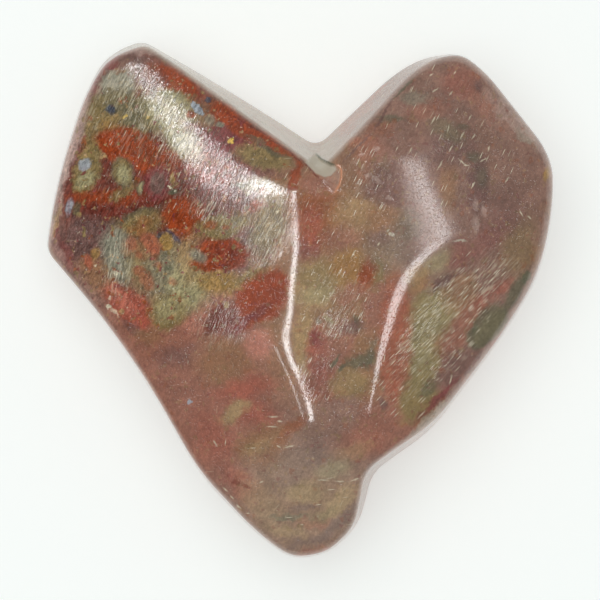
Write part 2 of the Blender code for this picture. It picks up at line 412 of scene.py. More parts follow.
def crown_distance(points):
    """Distance above the crown, made of all its faces."""
    middle = faces_distance(points, MIDDLE_FACES)
    crown = over_ridge(points, middle, faces_distance(points, LEFT_FACES), LEFT_RIDGE)
    crown = over_ridge(points, crown, faces_distance(points, RIGHT_FACES), RIGHT_RIDGE)
    outer, inner = NOTCH_FACES
    beside_notch = eased_min(face_distance(points, outer), face_distance(points, inner), inner.easing)
    crown = eased_max(crown, beside_notch, NOTCH_FACES_EASING)
    return eased_max(crown, face_distance(points, TIP_FACE), TIP_FACE.easing)


def stone_distance(points):
    """How far each point is outside the stone, negative inside it."""
    change = smooth_rise(points[:, 0], RIM_CHANGE_START, RIM_CHANGE_LENGTH)
    rim_easing = CRISP_RIM + (SOFT_RIM - CRISP_RIM) * change
    body = eased_max(outline_distance(points), crown_distance(points), rim_easing)
    return eased_max(body, -points[:, 2], BASE_EASING)


def grinding_waves(points, height, length):
    """Faint waves over the faces, a sum of a few slanted ripples."""
    total = np.zeros(len(points))
    turn = 2.0 * math.pi / length
    for heading, stretch, phase in RIPPLES:
        along = points @ np.array((math.cos(heading), math.sin(heading), RIPPLE_SLANT))
        total += np.sin(along * turn * stretch + phase) / len(RIPPLES)
    return total * height


def beside_line(points, corners):
    """For each point: how far it is in plan from a line through the corners, positive on the line's right,
    and the share of the way along the line."""
    flat = points[:, :2]
    corners = np.array(corners)
    starts = corners[:-1]
    spans = corners[1:] - starts
    lengths = np.linalg.norm(spans, axis=1)
    travelled = np.concatenate(([0.0], np.cumsum(lengths)))
    best = np.full(len(flat), np.inf)
    side = np.zeros(len(flat))
    share = np.zeros(len(flat))
    for number, (start, span, length) in enumerate(zip(starts, spans, lengths)):
        offset = flat - start
        along = np.clip(offset @ span / length**2, 0.0, 1.0)
        gap = np.linalg.norm(offset - along[:, None] * span, axis=1)
        nearer = gap < best
        best = np.where(nearer, gap, best)
        turned = span[1] * offset[:, 0] - span[0] * offset[:, 1]
        side = np.where(nearer, np.sign(turned), side)
        share = np.where(nearer, (travelled[number] + along * length) / travelled[-1], share)
    return best * side, share


def line_ends(share, ends):
    """Fades over the given shares of a line at its start and its end."""
    start, end = ends
    return smooth_rise(share, 0.0, start) * smooth_rise(1.0 - share, 0.0, end)


def break_share(points):
    """Share of the full depth that is missing at each point: a steep step at the broken edge, then a shallow
    scoop."""
    distance, share = beside_line(points, BREAK_EDGE)
    step = smooth_rise(distance, 0.0, BREAK_STEP)
    scoop = 1.0 - smooth_rise(distance, 0.0, BREAK_REACH)
    return step * scoop * line_ends(share, BREAK_STEP_ENDS) * (points[:, 2] > GIRDLE_HEIGHT)


def push_to_surface(directions, settings):
    """Each direction's point on the stone's surface, found by halving the span between inside and outside."""
    origin = np.array(INNER_POINT)
    inside = np.zeros(len(directions))
    outside = np.full(len(directions), SEARCH_REACH)
    for _ in range(SEARCH_STEPS):
        middle = (inside + outside) / 2.0
        is_inside = stone_distance(origin + directions * middle[:, None]) < 0.0
        inside = np.where(is_inside, middle, inside)
        outside = np.where(is_inside, outside, middle)
    points = origin + directions * inside[:, None]
    above_base = smooth_rise(points[:, 2], 0.0, BASE_EASING)
    cut = break_share(points) * settings.break_depth
    waves = grinding_waves(points, settings.wave_height, settings.wave_length) * above_base
    return points - directions * (cut + waves)[:, None]


def fit_to_frame(points):
    """The points scaled to the CAD solid's own box, in metres."""
    low = points.min(axis=0)
    high = points.max(axis=0)
    frame_low = np.array(HEART_LOW)
    frame_high = np.array(HEART_HIGH)
    return frame_low + (points - low) * (frame_high - frame_low) / (high - low)


def edge_rise(edge):
    return abs(edge.verts[0].co.z - edge.verts[1].co.z)


def outward_directions(corners):
    """The way out to each point of the cube. Equal angles instead of equal steps keep its squares alike from
    the middle of a side to its edge."""
    directions = np.tan(corners * math.pi / 4.0)
    directions[:, 2] *= FLATTENING
    return directions / np.linalg.norm(directions, axis=1)[:, None]


def finished_mesh(name, bm):
    """A mesh with the bmesh's faces. The bmesh is given up."""
    mesh = bpy.data.meshes.new(name)
    bm.to_mesh(mesh)
    bm.free()
    return mesh


def make_stone_mesh(settings):
    bm = bmesh.new()
    bmesh.ops.create_cube(bm, size=2.0)
    upright = [edge for edge in bm.edges if edge_rise(edge) > LEVEL_TOLERANCE]
    bmesh.ops.subdivide_edges(bm, edges=upright, cuts=settings.cuts_upwards, use_grid_fill=True)
    level = [edge for edge in bm.edges if edge_rise(edge) < LEVEL_TOLERANCE]
    bmesh.ops.subdivide_edges(bm, edges=level, cuts=settings.cuts_across, use_grid_fill=True)
    # Finer squares round the break, so that its step is steep
    directions = outward_directions(np.array([vert.co for vert in bm.verts]))
    break_place = (*BREAK_MIDDLE, HEART_HIGH.z / MILLIMETRE - BREAK_UNDER_TOP)
    towards_break = np.array(break_place) - np.array(INNER_POINT)
    towards_break /= np.linalg.norm(towards_break)
    near = directions @ towards_break > math.cos(math.atan(BREAK_FINE_REACH / BREAK_FINE_DISTANCE))
    bm.verts.index_update()
    fine = [edge for edge in bm.edges if near[edge.verts[0].index] and near[edge.verts[1].index]]
    bmesh.ops.subdivide_edges(bm, edges=fine, cuts=BREAK_FINE_CUTS, use_grid_fill=True)
    points = push_to_surface(outward_directions(np.array([vert.co for vert in bm.verts])), settings)
    for vert, place in zip(bm.verts, fit_to_frame(points)):
        vert.co = place
    bmesh.ops.recalc_face_normals(bm, faces=bm.faces[:])
    mesh = finished_mesh("heart stone", bm)
    mesh.shade_smooth()
    add_break_attributes(mesh, points)
    add_grinding_attributes(mesh, points)
    return mesh


def add_attribute(mesh, name, values):
    mesh.attributes.new(name, "FLOAT", "POINT").data.foreach_set("value", values.astype(np.float32))


def add_break_attributes(mesh, points):
    """Marks the broken edge, the raw stone and the walls, for the paint: painted shade in the crack and a
    pale lip that is partly a painted glint along the broken edge, the raw stone's colour with a painted
    reflection, and the painted reflection on the walls.
    """
    distance, share = beside_line(points, BREAK_EDGE)
    on_crown = points[:, 2] > GIRDLE_HEIGHT
    break_edge = np.exp(-((distance / BREAK_RIM_WIDTH) ** 2)) * line_ends(share, BREAK_RIM_ENDS) * on_crown
    inside, _ = beside_line(points, RAW_OUTLINE)
    crown = crown_distance(points)
    past_notch = notch_distance(points) - crown
    less, still_less = RIGHT_LESS_PALE
    up_the_lobe = smooth_rise(points[:, 1], *UP_THE_LOBE)
    right_less = smooth_rise(points[:, 0], *RIGHT_OF_NOTCH) * (less + still_less * up_the_lobe)
    less_sheen = RIGHT_LESS_SHEEN * right_less * smooth_rise(past_notch, *PAST_NOTCH_EDGE)
    wall = smooth_rise(outline_distance(points) - crown, *INTO_WALL) * smooth_rise(points[:, 2], *UP_THE_WALL)
    notch_wall = smooth_rise(past_notch, *INTO_NOTCH_WALL) * smooth_rise(points[:, 2], *OVER_BASE)
    for name, values in (
        ("break_edge", break_edge),
        ("break_along", share),
        ("break_share", smooth_rise(break_share(points), 0.0, BREAK_DULL_SHARE)),
        ("raw", smooth_rise(inside, *RAW_FADE) * on_crown),
        ("wall", wall * (1.0 - less_sheen)),
        ("notch_wall", notch_wall * (1.0 - right_less)),
    ):
        add_attribute(mesh, name, values)


def zone_share(points, zone):
    """How far each point belongs to a zone in plan."""
    turn = math.radians(zone.turn)
    along = (points[:, 0] - zone.x) * math.cos(turn) + (points[:, 1] - zone.y) * math.sin(turn)
    across = (points[:, 1] - zone.y) * math.cos(turn) - (points[:, 0] - zone.x) * math.sin(turn)
    return 1.0 - smooth_rise(np.hypot(along / zone.long, across / zone.wide), *ZONE_FADE)


def add_grinding_attributes(mesh, points):
    """Marks how much of each family's grinding marks shows at each point, and where the polish is hazy."""
    upper = smooth_rise(points[:, 2], GIRDLE_HEIGHT, GIRDLE_HEIGHT)
    for heading, zones in FAMILIES.items():
        total = np.zeros((len(points), 3))
        for zone in zones:
            total += np.outer(zone_share(points, zone) * upper, (zone.share, zone.brush, zone.pale))
        grinding = mesh.attributes.new(f"grinding {heading}", "FLOAT_VECTOR", "POINT")
        grinding.data.foreach_set("vector", np.clip(total, 0.0, 1.0).astype(np.float32).ravel())
    for name, zone in (("haze", HAZE), ("flecked", FLECKED)):
        add_attribute(mesh, name, zone_share(points, zone) * upper)


# Material tools

# Noise and what it is turned into: the size of its blotches, its detail and roughness, the two values between
# which the change runs, and what it gives below and above them
Blotches = namedtuple("Blotches", "size detail roughness start end low high")


class Painter:
    """Adds nodes to one node tree. A method gives the socket or the sockets that hold its result."""

    def __init__(self, tree):
        self.tree = tree

    def feed(self, socket, value):
        if isinstance(value, bpy.types.NodeSocket):
            self.tree.links.new(value, socket)
        else:
            socket.default_value = value

    def add(self, kind, inputs, **settings):
        """The outputs of a new node, which is set up first and then fed through the inputs named."""
        node = self.tree.nodes.new(kind)
        for name, value in settings.items():
            setattr(node, name, value)
        for name, value in inputs.items():
            self.feed(node.inputs[name], value)
        return node.outputs

    def math(self, operation, first, second=0.0, third=0.0, clamp=False):
        inputs = {0: first, 1: second, 2: third}
        return self.add("ShaderNodeMath", inputs, operation=operation, use_clamp=clamp)[0]

    def vector(self, operation, first, second=(0.0, 0.0, 0.0)):
        outputs = self.add("ShaderNodeVectorMath", {0: first, 1: second}, operation=operation)
        return outputs["Value" if operation == "LENGTH" else "Vector"]

    def scaled(self, vector, factor):
        return self.add("ShaderNodeVectorMath", {0: vector, "Scale": factor}, operation="SCALE")["Vector"]

    def headed(self, coordinates, turn, reach=(1.0, 1.0, 1.0)):
        """Coordinates turned by degrees about Z, in which the reach is 1 each way."""
        inputs = {"Vector": coordinates, "Rotation": (0.0, 0.0, math.radians(turn)), "Scale": reach}
        return self.add("ShaderNodeMapping", inputs, vector_type="TEXTURE")["Vector"]

    def stretched(self, coordinates, factors, shift):
        """Coordinates multiplied by the factors and then shifted."""
        inputs = {0: coordinates, 1: factors, 2: shift}
        return self.add("ShaderNodeVectorMath", inputs, operation="MULTIPLY_ADD")["Vector"]

    def noise(self, coordinates, size, detail, roughness, colour=False):
        """Noise whose blotches are about the given size."""
        inputs = {"Vector": coordinates, "Scale": 1.0 / size, "Detail": detail, "Roughness": roughness}
        return self.add("ShaderNodeTexNoise", inputs)["Color" if colour else "Fac"]

    def blotches(self, coordinates, kind):
        """Noise turned into a value between the kind's low and its high."""
        noise = self.noise(coordinates, kind.size, kind.detail, kind.roughness)
        return self.ramp(noise, kind.start, kind.end, kind.low, kind.high)

    def cells(self, coordinates, size=1.0, dimensions="3D"):
        """Scattered points: the distance to the nearest, and two random numbers that belong to it."""
        inputs = {"Vector": coordinates, "Scale": 1.0 / size}
        cell = self.add("ShaderNodeTexVoronoi", inputs, voronoi_dimensions=dimensions)
        tone = self.add("ShaderNodeSeparateColor", {"Color": cell["Color"]})
        return cell["Distance"], tone["Red"], tone["Green"]

    def ramp(self, value, start, end, low=0.0, high=1.0):
        """A smooth change from low at start to high at end."""
        inputs = {"Value": value, "From Min": start, "From Max": end, "To Min": low, "To Max": high}
        return self.add("ShaderNodeMapRange", inputs, interpolation_type="SMOOTHSTEP")["Result"]

    def mix(self, share, first, second, blend="MIX"):
        node = self.tree.nodes.new("ShaderNodeMix")
        node.data_type = "RGBA"
        node.blend_type = blend
        colours = [socket for socket in node.inputs if socket.type == "RGBA"]
        self.feed(node.inputs["Factor"], share)
        self.feed(colours[0], first)
        self.feed(colours[1], second)
        return [socket for socket in node.outputs if socket.type == "RGBA"][0]

    def attribute(self, name, output="Fac"):
        return self.add("ShaderNodeAttribute", {}, attribute_name=name)[output]

    def attribute_parts(self, name):
        """The three numbers of an attribute that holds a vector."""
        parts = self.add("ShaderNodeSeparateXYZ", {"Vector": self.attribute(name, "Vector")})
        return parts["X"], parts["Y"], parts["Z"]

    def bump(self, height, distance):
        return self.add("ShaderNodeBump", {"Height": height, "Distance": distance})["Normal"]


def linear(colour):
    """A display colour as light, with full opacity."""
    return (*(part / 12.92 if part <= 0.04045 else ((part + 0.055) / 1.055) ** 2.4 for part in colour), 1.0)


# The jasper's markings. Each is an ellipse in plan: its middle, its reach along its own two axes, its turn in
# degrees, its colour, how soft its edge is as a share of its reach, and how strong it is. Its middle is given
# as the camera sees it, at the scale of the widest line.
Marking = namedtuple("Marking", "x y long wide turn colour soft strength")

# Broad areas, which blend into each other
AREAS = [
    # Grounds of the lobes, the middle and the tip
    (-22, 19, 19, 14.5, 0, "deep_red", 0.25, 0.9),
    (-18, -12, 16, 15, -60, "rose", 0.3, 0.9),
    (4, 3, 11, 19, 0, "umber", 0.35, 0.85),
    (25, 18, 13, 19, 0, "mauve", 0.25, 0.85),
    (3, -28, 10, 11, 0, "mauve", 0.4, 0.85),
    (14.5, -17, 5, 7, -45, "rose", 0.4, 0.7),
    # Left lobe, from the top down
    (-23.5, 36.6, 5.5, 1.6, -15, "plum", 0.4, 0.9),
    (-29.6, 33.6, 3.8, 1.2, 60, "maroon", 0.4, 0.9),
    (-32.8, 27, 6, 0.9, 75, "maroon", 0.5, 0.8),
    (-19.3, 32.8, 4.6, 1.8, -30, "brick", 0.25, 1),
    (-18.6, 34.4, 4.5, 0.6, -30, "orange", 0.6, 0.35),
    (-22, 33.4, 2.2, 1.6, -45, "plum", 0.5, 0.6),
    (-27.5, 31.8, 3, 2.5, 15, "slate", 0.3, 1),
    (-27.3, 32.3, 2.2, 1.7, 15, "raw", 0.5, 0.6),
    (-26, 28.2, 5.8, 2.8, -15, "olive", 0.3, 0.95),
    (-27, 28.4, 4.8, 2.6, -15, "leaf", 0.5, 0.85),
    (-31, 26.4, 3.4, 1.5, 75, "olive", 0.4, 0.9),
    (-17.9, 29.1, 4, 1.7, -30, "olive", 0.35, 0.95),
    (-17.9, 29.1, 3.4, 1.3, -30, "sand", 0.5, 0.6),
    (-13.8, 28, 2, 2.2, 0, "umber", 0.5, 0.6),
    (-19.8, 30.6, 2.2, 0.5, -15, "sand", 0.4, 0.85),
    (-11.6, 28, 2.4, 1.6, -30, "brick", 0.3, 0.95),
    (-11.5, 24, 3, 2.1, -15, "maroon", 0.35, 0.95),
    (-15, 20, 6, 4, -45, "maroon", 0.5, 0.3),
    (-19.5, 26, 5.5, 1.9, -50, "sand", 0.5, 0.9),
    (-16.4, 22.8, 2.8, 1.5, -50, "cream", 0.5, 0.5),
    (-13.5, 19.5, 3.6, 2.2, -30, "rose_red", 0.5, 0.5),
    (-6.4, 17.2, 3, 1, -5, "sand", 0.6, 0.6),
    (-6.3, 24.3, 6.5, 1, -30, "brick", 0.35, 0.9),
    (-5.6, 21.3, 4.2, 1.6, -15, "olive", 0.35, 0.95),
    (-5, 22.9, 3.6, 0.45, -30, "moss", 0.5, 0.7),
    (-1, 18, 0.7, 3.2, -15, "brick", 0.4, 0.9),
    (-26, 23.1, 5, 2.7, -15, "brick", 0.2, 1),
    (-23.3, 21.4, 2.6, 2.1, -45, "brick", 0.3, 1),
    (-19.6, 21.2, 2.2, 1.6, -45, "brick", 0.4, 0.8),
    (-31.9, 19.8, 4.3, 1.9, 75, "olive", 0.2, 1),
    (-32.2, 18, 1.5, 1.1, 45, "sand", 0.4, 0.9),
    (-28.5, 15.4, 6, 1, 0, "brick", 0.4, 0.9),
    (-26.8, 16.1, 2.2, 0.6, 30, "olive", 0.4, 0.85),
    (-29.5, 13, 5.8, 1.8, 0, "deep_red", 0.35, 1),
    (-22, 14.6, 5, 1.1, 10, "deep_red", 0.4, 0.9),
    (-17.4, 12.6, 2.9, 3, 0, "brick", 0.3, 1),
    (-24.6, 12.6, 3.6, 0.7, 15, "moss", 0.6, 0.8),
    (-24, 11.2, 3.6, 1.6, 15, "olive", 0.4, 0.95),
    (-24, 10.8, 2.4, 0.9, 30, "rust", 0.6, 0.5),
    (-31.6, 9, 4.4, 3.6, -15, "plum", 0.35, 1),
    (-35.6, 7.4, 1.2, 3.5, 30, "maroon", 0.4, 0.5),
    (-30, 3.5, 3.4, 1.8, -45, "umber", 0.5, 0.8),
    (-27.2, 6.6, 2.6, 4.3, 15, "slate", 0.35, 0.95),
    (-20.8, 5, 5, 4.6, 0, "olive", 0.35, 0.9),
    (-20, 4, 3.6, 4.6, 0, "slate", 0.6, 0.6),
    (-24, 7.6, 2.6, 1.6, -15, "umber", 0.4, 0.7),
    (-16.6, 1.9, 3.2, 3.5, 15, "sand", 0.4, 0.95),
    (-16.5, 6, 1.8, 3.6, 0, "tan", 0.5, 0.7),
    (-11.8, 2.7, 3.5, 1.7, 0, "ochre", 0.35, 0.9),
    (-11.6, 7, 3.6, 2.2, 0, "brick", 0.25, 1),
    (-11, 6.7, 2.6, 1.6, 0, "deep_red", 0.6, 0.55),
    (-14, 5.2, 2.6, 0.9, 0, "brick", 0.35, 0.9),
    (-11.6, 11.2, 4.2, 1.8, 15, "olive", 0.3, 1),
    (-6.7, 9, 2.1, 1.7, 0, "plum", 0.45, 0.85),
    (-4.6, 11.4, 2.3, 4.6, -15, "olive", 0.4, 0.8),
    (-6.6, 13.9, 1.8, 0.8, 15, "brick", 0.4, 0.8),
    (-7, 3.4, 2.7, 1.5, 30, "olive", 0.3, 0.95),
    (-5.4, 0.8, 4.4, 3.4, 45, "brick", 0.22, 1),
    (-8.7, -2.6, 2.8, 2, 15, "brick", 0.3, 1),
    (-6.5, -2, 3.4, 0.7, 30, "deep_red", 0.6, 0.7),
    (-12, -2.8, 3.2, 2, 30, "deep_red", 0.35, 0.95),
    (-9.6, -4, 3, 0.7, 30, "maroon", 0.5, 0.7),
    (-15.4, -3, 1.6, 2.6, -30, "pink", 0.6, 0.5),
    (-20, -1.8, 2.9, 2.6, 15, "olive", 0.3, 0.95),
    (-19.8, -1.2, 2.2, 1.8, 15, "sand", 0.6, 0.6),
    (-26, -0.8, 4.2, 2.2, -45, "rose_red", 0.3, 0.85),
    (-24.4, -1.6, 2.6, 1.6, -45, "rose_red", 0.6, 0.5),
    (-26.6, 0, 3, 1.2, -45, "pink", 0.6, 0.25),
    (-25, -4.1, 2.2, 0.8, -30, "plum", 0.4, 0.8),
    (-22.6, -5.4, 2.4, 1.2, -15, "umber", 0.5, 0.6),
    (-18.6, -8.3, 3.4, 1.4, 15, "plum", 0.6, 0.6),
    (-11.3, -9, 4.2, 3.3, 15, "umber", 0.5, 0.75),
    (-8.4, -13.3, 4.2, 1.5, 15, "rose_red", 0.65, 0.6),
    (-6.6, -17, 3.4, 1.8, -15, "rose_red", 0.7, 0.5),
    (-13.2, -20.5, 2.6, 4, 30, "rose_red", 0.7, 0.4),
    (-10, -16.9, 2.5, 1.2, 30, "tan", 0.45, 0.7),
    (-9.8, -16.7, 2, 0.9, 30, "sand", 0.6, 0.25),
    (-5.6, -21.4, 4, 2.4, 30, "umber", 0.45, 0.9),
    (-6.5, -22.2, 2.4, 1, 30, "tan", 0.6, 0.5),
    (-1.8, -20, 3.4, 0.9, 45, "rust", 0.5, 0.7),
    (-4, -23.6, 2.4, 0.8, 30, "rust", 0.6, 0.5),
    (-8.2, -28.2, 3.4, 1.8, -45, "rose_red", 0.6, 0.6),
    # Middle
    (2.4, 12.8, 3.9, 4.6, 0, "rust", 0.5, 0.8),
    (1.6, 11, 1.8, 3, 0, "rose_red", 0.5, 0.6),
    (1.2, 7, 1.7, 2.4, 0, "maroon", 0.5, 0.6),
    (8.2, 13, 3.6, 2.6, 15, "tan", 0.6, 0.6),
    (6.2, 9.6, 2.8, 1.8, 15, "rose", 0.5, 0.6),
    (2.6, 2.2, 3.8, 3.8, 0, "tan", 0.35, 0.95),
    (2.8, 1, 2.8, 1.6, 15, "sand", 0.6, 0.5),
    (2.4, 3.8, 2.8, 1.8, 0, "olive", 0.6, 0.6),
    (7.4, 4.6, 2.6, 2.8, 0, "ochre", 0.4, 0.9),
    (7.6, 4.8, 2.4, 2.2, 0, "rust", 0.6, 0.35),
    (11.4, 4, 0.9, 2.2, 0, "olive", 0.5, 0.8),
    (9.8, 3.9, 1, 2.7, -15, "brick", 0.45, 0.85),
    (7, 0.6, 2.6, 1.6, 30, "rose", 0.5, 0.7),
    (13, 7.2, 3.4, 2.7, 0, "slate", 0.6, 0.35),
    (11.6, -1, 1.9, 3.8, -15, "rose", 0.4, 0.9),
    (0.5, -6, 1.5, 4.6, 0, "tan", 0.35, 0.95),
    (2.9, -8, 1.6, 4.2, 0, "rose_red", 0.4, 0.85),
    (2.6, -5.6, 1.2, 1.4, 0, "maroon", 0.5, 0.7),
    (5.8, -6.5, 2.2, 3.8, -15, "rose", 0.5, 0.8),
    (7.8, -4, 1.8, 1.2, 0, "plum", 0.5, 0.8),
    (9, -9.2, 2.4, 1.2, 15, "moss", 0.5, 0.75),
    (10.9, -7.4, 0.5, 2, -15, "moss", 0.6, 0.5),
    (3.4, -12.6, 3, 2.8, 0, "rose_red", 0.5, 0.6),
    (3.4, -11, 2.6, 3.2, 0, "plum", 0.6, 0.45),
    (7.4, -12.7, 2.9, 2.1, 0, "olive", 0.4, 0.7),
    (7.6, -12.4, 2.2, 1.5, 0, "tan", 0.6, 0.5),
    (6.2, -16.4, 3.4, 2, 0, "mauve", 0.5, 0.7),
    # Right lobe, from the bottom up
    (14.2, -6, 2.4, 8.8, 0, "rust", 0.3, 0.45),
    (14.4, -6, 2.4, 8.8, 0, "rose_red", 0.3, 0.4),
    (14.6, -6, 2.2, 8.4, 0, "orange", 0.3, 0.4),
    (12.6, -17.6, 3, 2.4, 0, "rose", 0.5, 0.8),
    (17.6, -15.2, 2.4, 3.4, -45, "olive", 0.35, 0.95),
    (19, -8, 2.4, 6.6, -15, "olive", 0.3, 1),
    (20, -2, 3.8, 3.4, 45, "olive", 0.35, 0.95),
    (19.4, -4.5, 2.6, 7.5, -15, "sand", 0.6, 0.38),
    (24, 1, 2.8, 2.2, 45, "umber", 0.5, 0.7),
    (17.5, 2.9, 1.7, 2.4, -15, "umber", 0.35, 0.95),
    (17.6, 3.2, 1.4, 1.8, -15, "tan", 0.6, 0.6),
    (19.2, -13.2, 1.8, 0.9, 45, "moss", 0.6, 0.6),
    (21.6, 2.6, 2.6, 0.6, 35, "plum", 0.6, 0.9),
    (20.6, 5.9, 2.6, 1.3, 35, "sand", 0.6, 0.55),
    (24.4, -4.6, 2.2, 4.8, -45, "rose", 0.4, 0.85),
    (23.6, 6.8, 1.4, 2.4, -15, "maroon", 0.6, 0.4),
    (28.6, 0.9, 2.9, 1, 30, "rose_red", 0.5, 0.35),
    (23.9, -9.8, 1.9, 4, -45, "plum", 0.4, 0.7),
    (20.4, -14.9, 3.9, 0.6, 45, "maroon", 0.5, 0.8),
    (33, 7.8, 2.4, 4.2, -15, "olive", 0.6, 0.5),
    (28.4, 9.2, 4.6, 1.8, 45, "maroon", 0.6, 0.35),
    (30.4, 13.6, 2.8, 3.6, -30, "plum", 0.7, 0.5),
    (26.8, 17.3, 1.6, 4.4, 0, "plum", 0.4, 0.95),
    (22.2, 17.2, 1.4, 3.8, 0, "umber", 0.5, 0.7),
    (23, 23, 4.2, 2.6, 15, "plum", 0.6, 0.7),
    (22, 25.4, 2.8, 1.2, -30, "leaf", 0.6, 0.6),
    (24.2, 32.3, 2.8, 2.1, -15, "rose_red", 0.6, 0.35),
    (27.5, 29.5, 2.6, 1.6, -45, "rose", 0.6, 0.5),
    (19, 28.2, 3, 1.2, 15, "rose", 0.6, 0.6),
    (17, 30.4, 2, 1.1, 0, "slate", 0.5, 0.5),
    (13.8, 27.2, 2, 0.6, 0, "moss", 0.5, 0.6),
    (12.2, 25.6, 2.2, 1.1, 15, "rust", 0.5, 0.4),
    (33.6, 24.3, 2, 0.5, -45, "slate", 0.5, 0.6),
    (12.6, 17, 3.2, 2.8, 0, "plum", 0.5, 0.75),
    (12.4, 12.4, 2.4, 1.6, 0, "umber", 0.5, 0.8),
    (11.8, 9.2, 1.6, 1.2, 0, "plum", 0.6, 0.6),
    (2.6, 17.4, 2.8, 1.7, 0, "rose", 0.5, 0.8),
    (16, 11.2, 1.8, 2.2, 0, "leaf", 0.6, 0.5),
    # Tip
    (0.5, -29.5, 8, 8.5, 0, "umber", 0.5, 0.6),
    (2.6, -22.4, 4.6, 3, 15, "mauve", 0.5, 0.85),
    (3.2, -21.6, 3.2, 1.2, 15, "plum", 0.7, 0.4),
    (2.2, -23.8, 1.4, 1.2, 15, "plum", 0.7, 0.5),
    (9, -21.2, 4.2, 2.2, 15, "rose", 0.45, 0.9),
    (7.8, -22.6, 2.6, 1, 15, "tan", 0.7, 0.4),
    (5, -25.4, 2.6, 1.3, 15, "sand", 0.6, 0.5),
    (-1.4, -26.6, 2.8, 2.2, 45, "mauve", 0.6, 0.7),
    (-5.6, -30.8, 3.8, 2, -45, "tan", 0.6, 0.4),
    (0.8, -29, 3, 1.6, 0, "tan", 0.5, 0.85),
    (5.8, -30.4, 3.2, 1.5, 45, "tan", 0.5, 0.85),
    (3.2, -32.4, 3.2, 0.8, 30, "olive", 0.6, 0.6),
    (-1.6, -32.7, 2.9, 0.4, 0, "leaf", 0.5, 0.8),
    (0.8, -31.2, 2.4, 0.5, 15, "plum", 0.6, 0.6),
    (2.2, -33.6, 2.6, 0.8, 0, "rose_red", 0.6, 0.4),
    (5.8, -33.6, 4.4, 0.8, 45, "plum", 0.5, 0.8),
    (-2, -34.8, 3, 0.8, -15, "tan", 0.6, 0.6),
    (1, -36.4, 4.4, 0.5, 15, "plum", 0.6, 0.6),
    (2, -37.8, 4, 0.6, 15, "rose_red", 0.6, 0.4),
    (1, -30, 9.5, 9.5, 0, "raw", 0.4, 0.24),
    # Painted reflection: pale rims where the edge turns steep and mirrors the bright floor and tent, and the
    # pale strip on the edge beside the tip
    (31.5, 27.2, 5.5, 0.9, -48, "rim", 0.5, 0.45),
    (-23.8, 37.6, 5, 0.8, 0, "rim", 0.5, 0.4),
    (-36.2, 14.5, 0.6, 6.5, -14, "rim", 0.5, 0.5),
    (-36.5, 8, 0.7, 2.6, 15, "rim", 0.5, 0.3),
    (19.6, -17.7, 4.2, 0.7, 42, "raw", 0.5, 0.55),
    (-33.8, 24, 0.9, 6.5, -18, "rim", 0.5, 0.75),
]

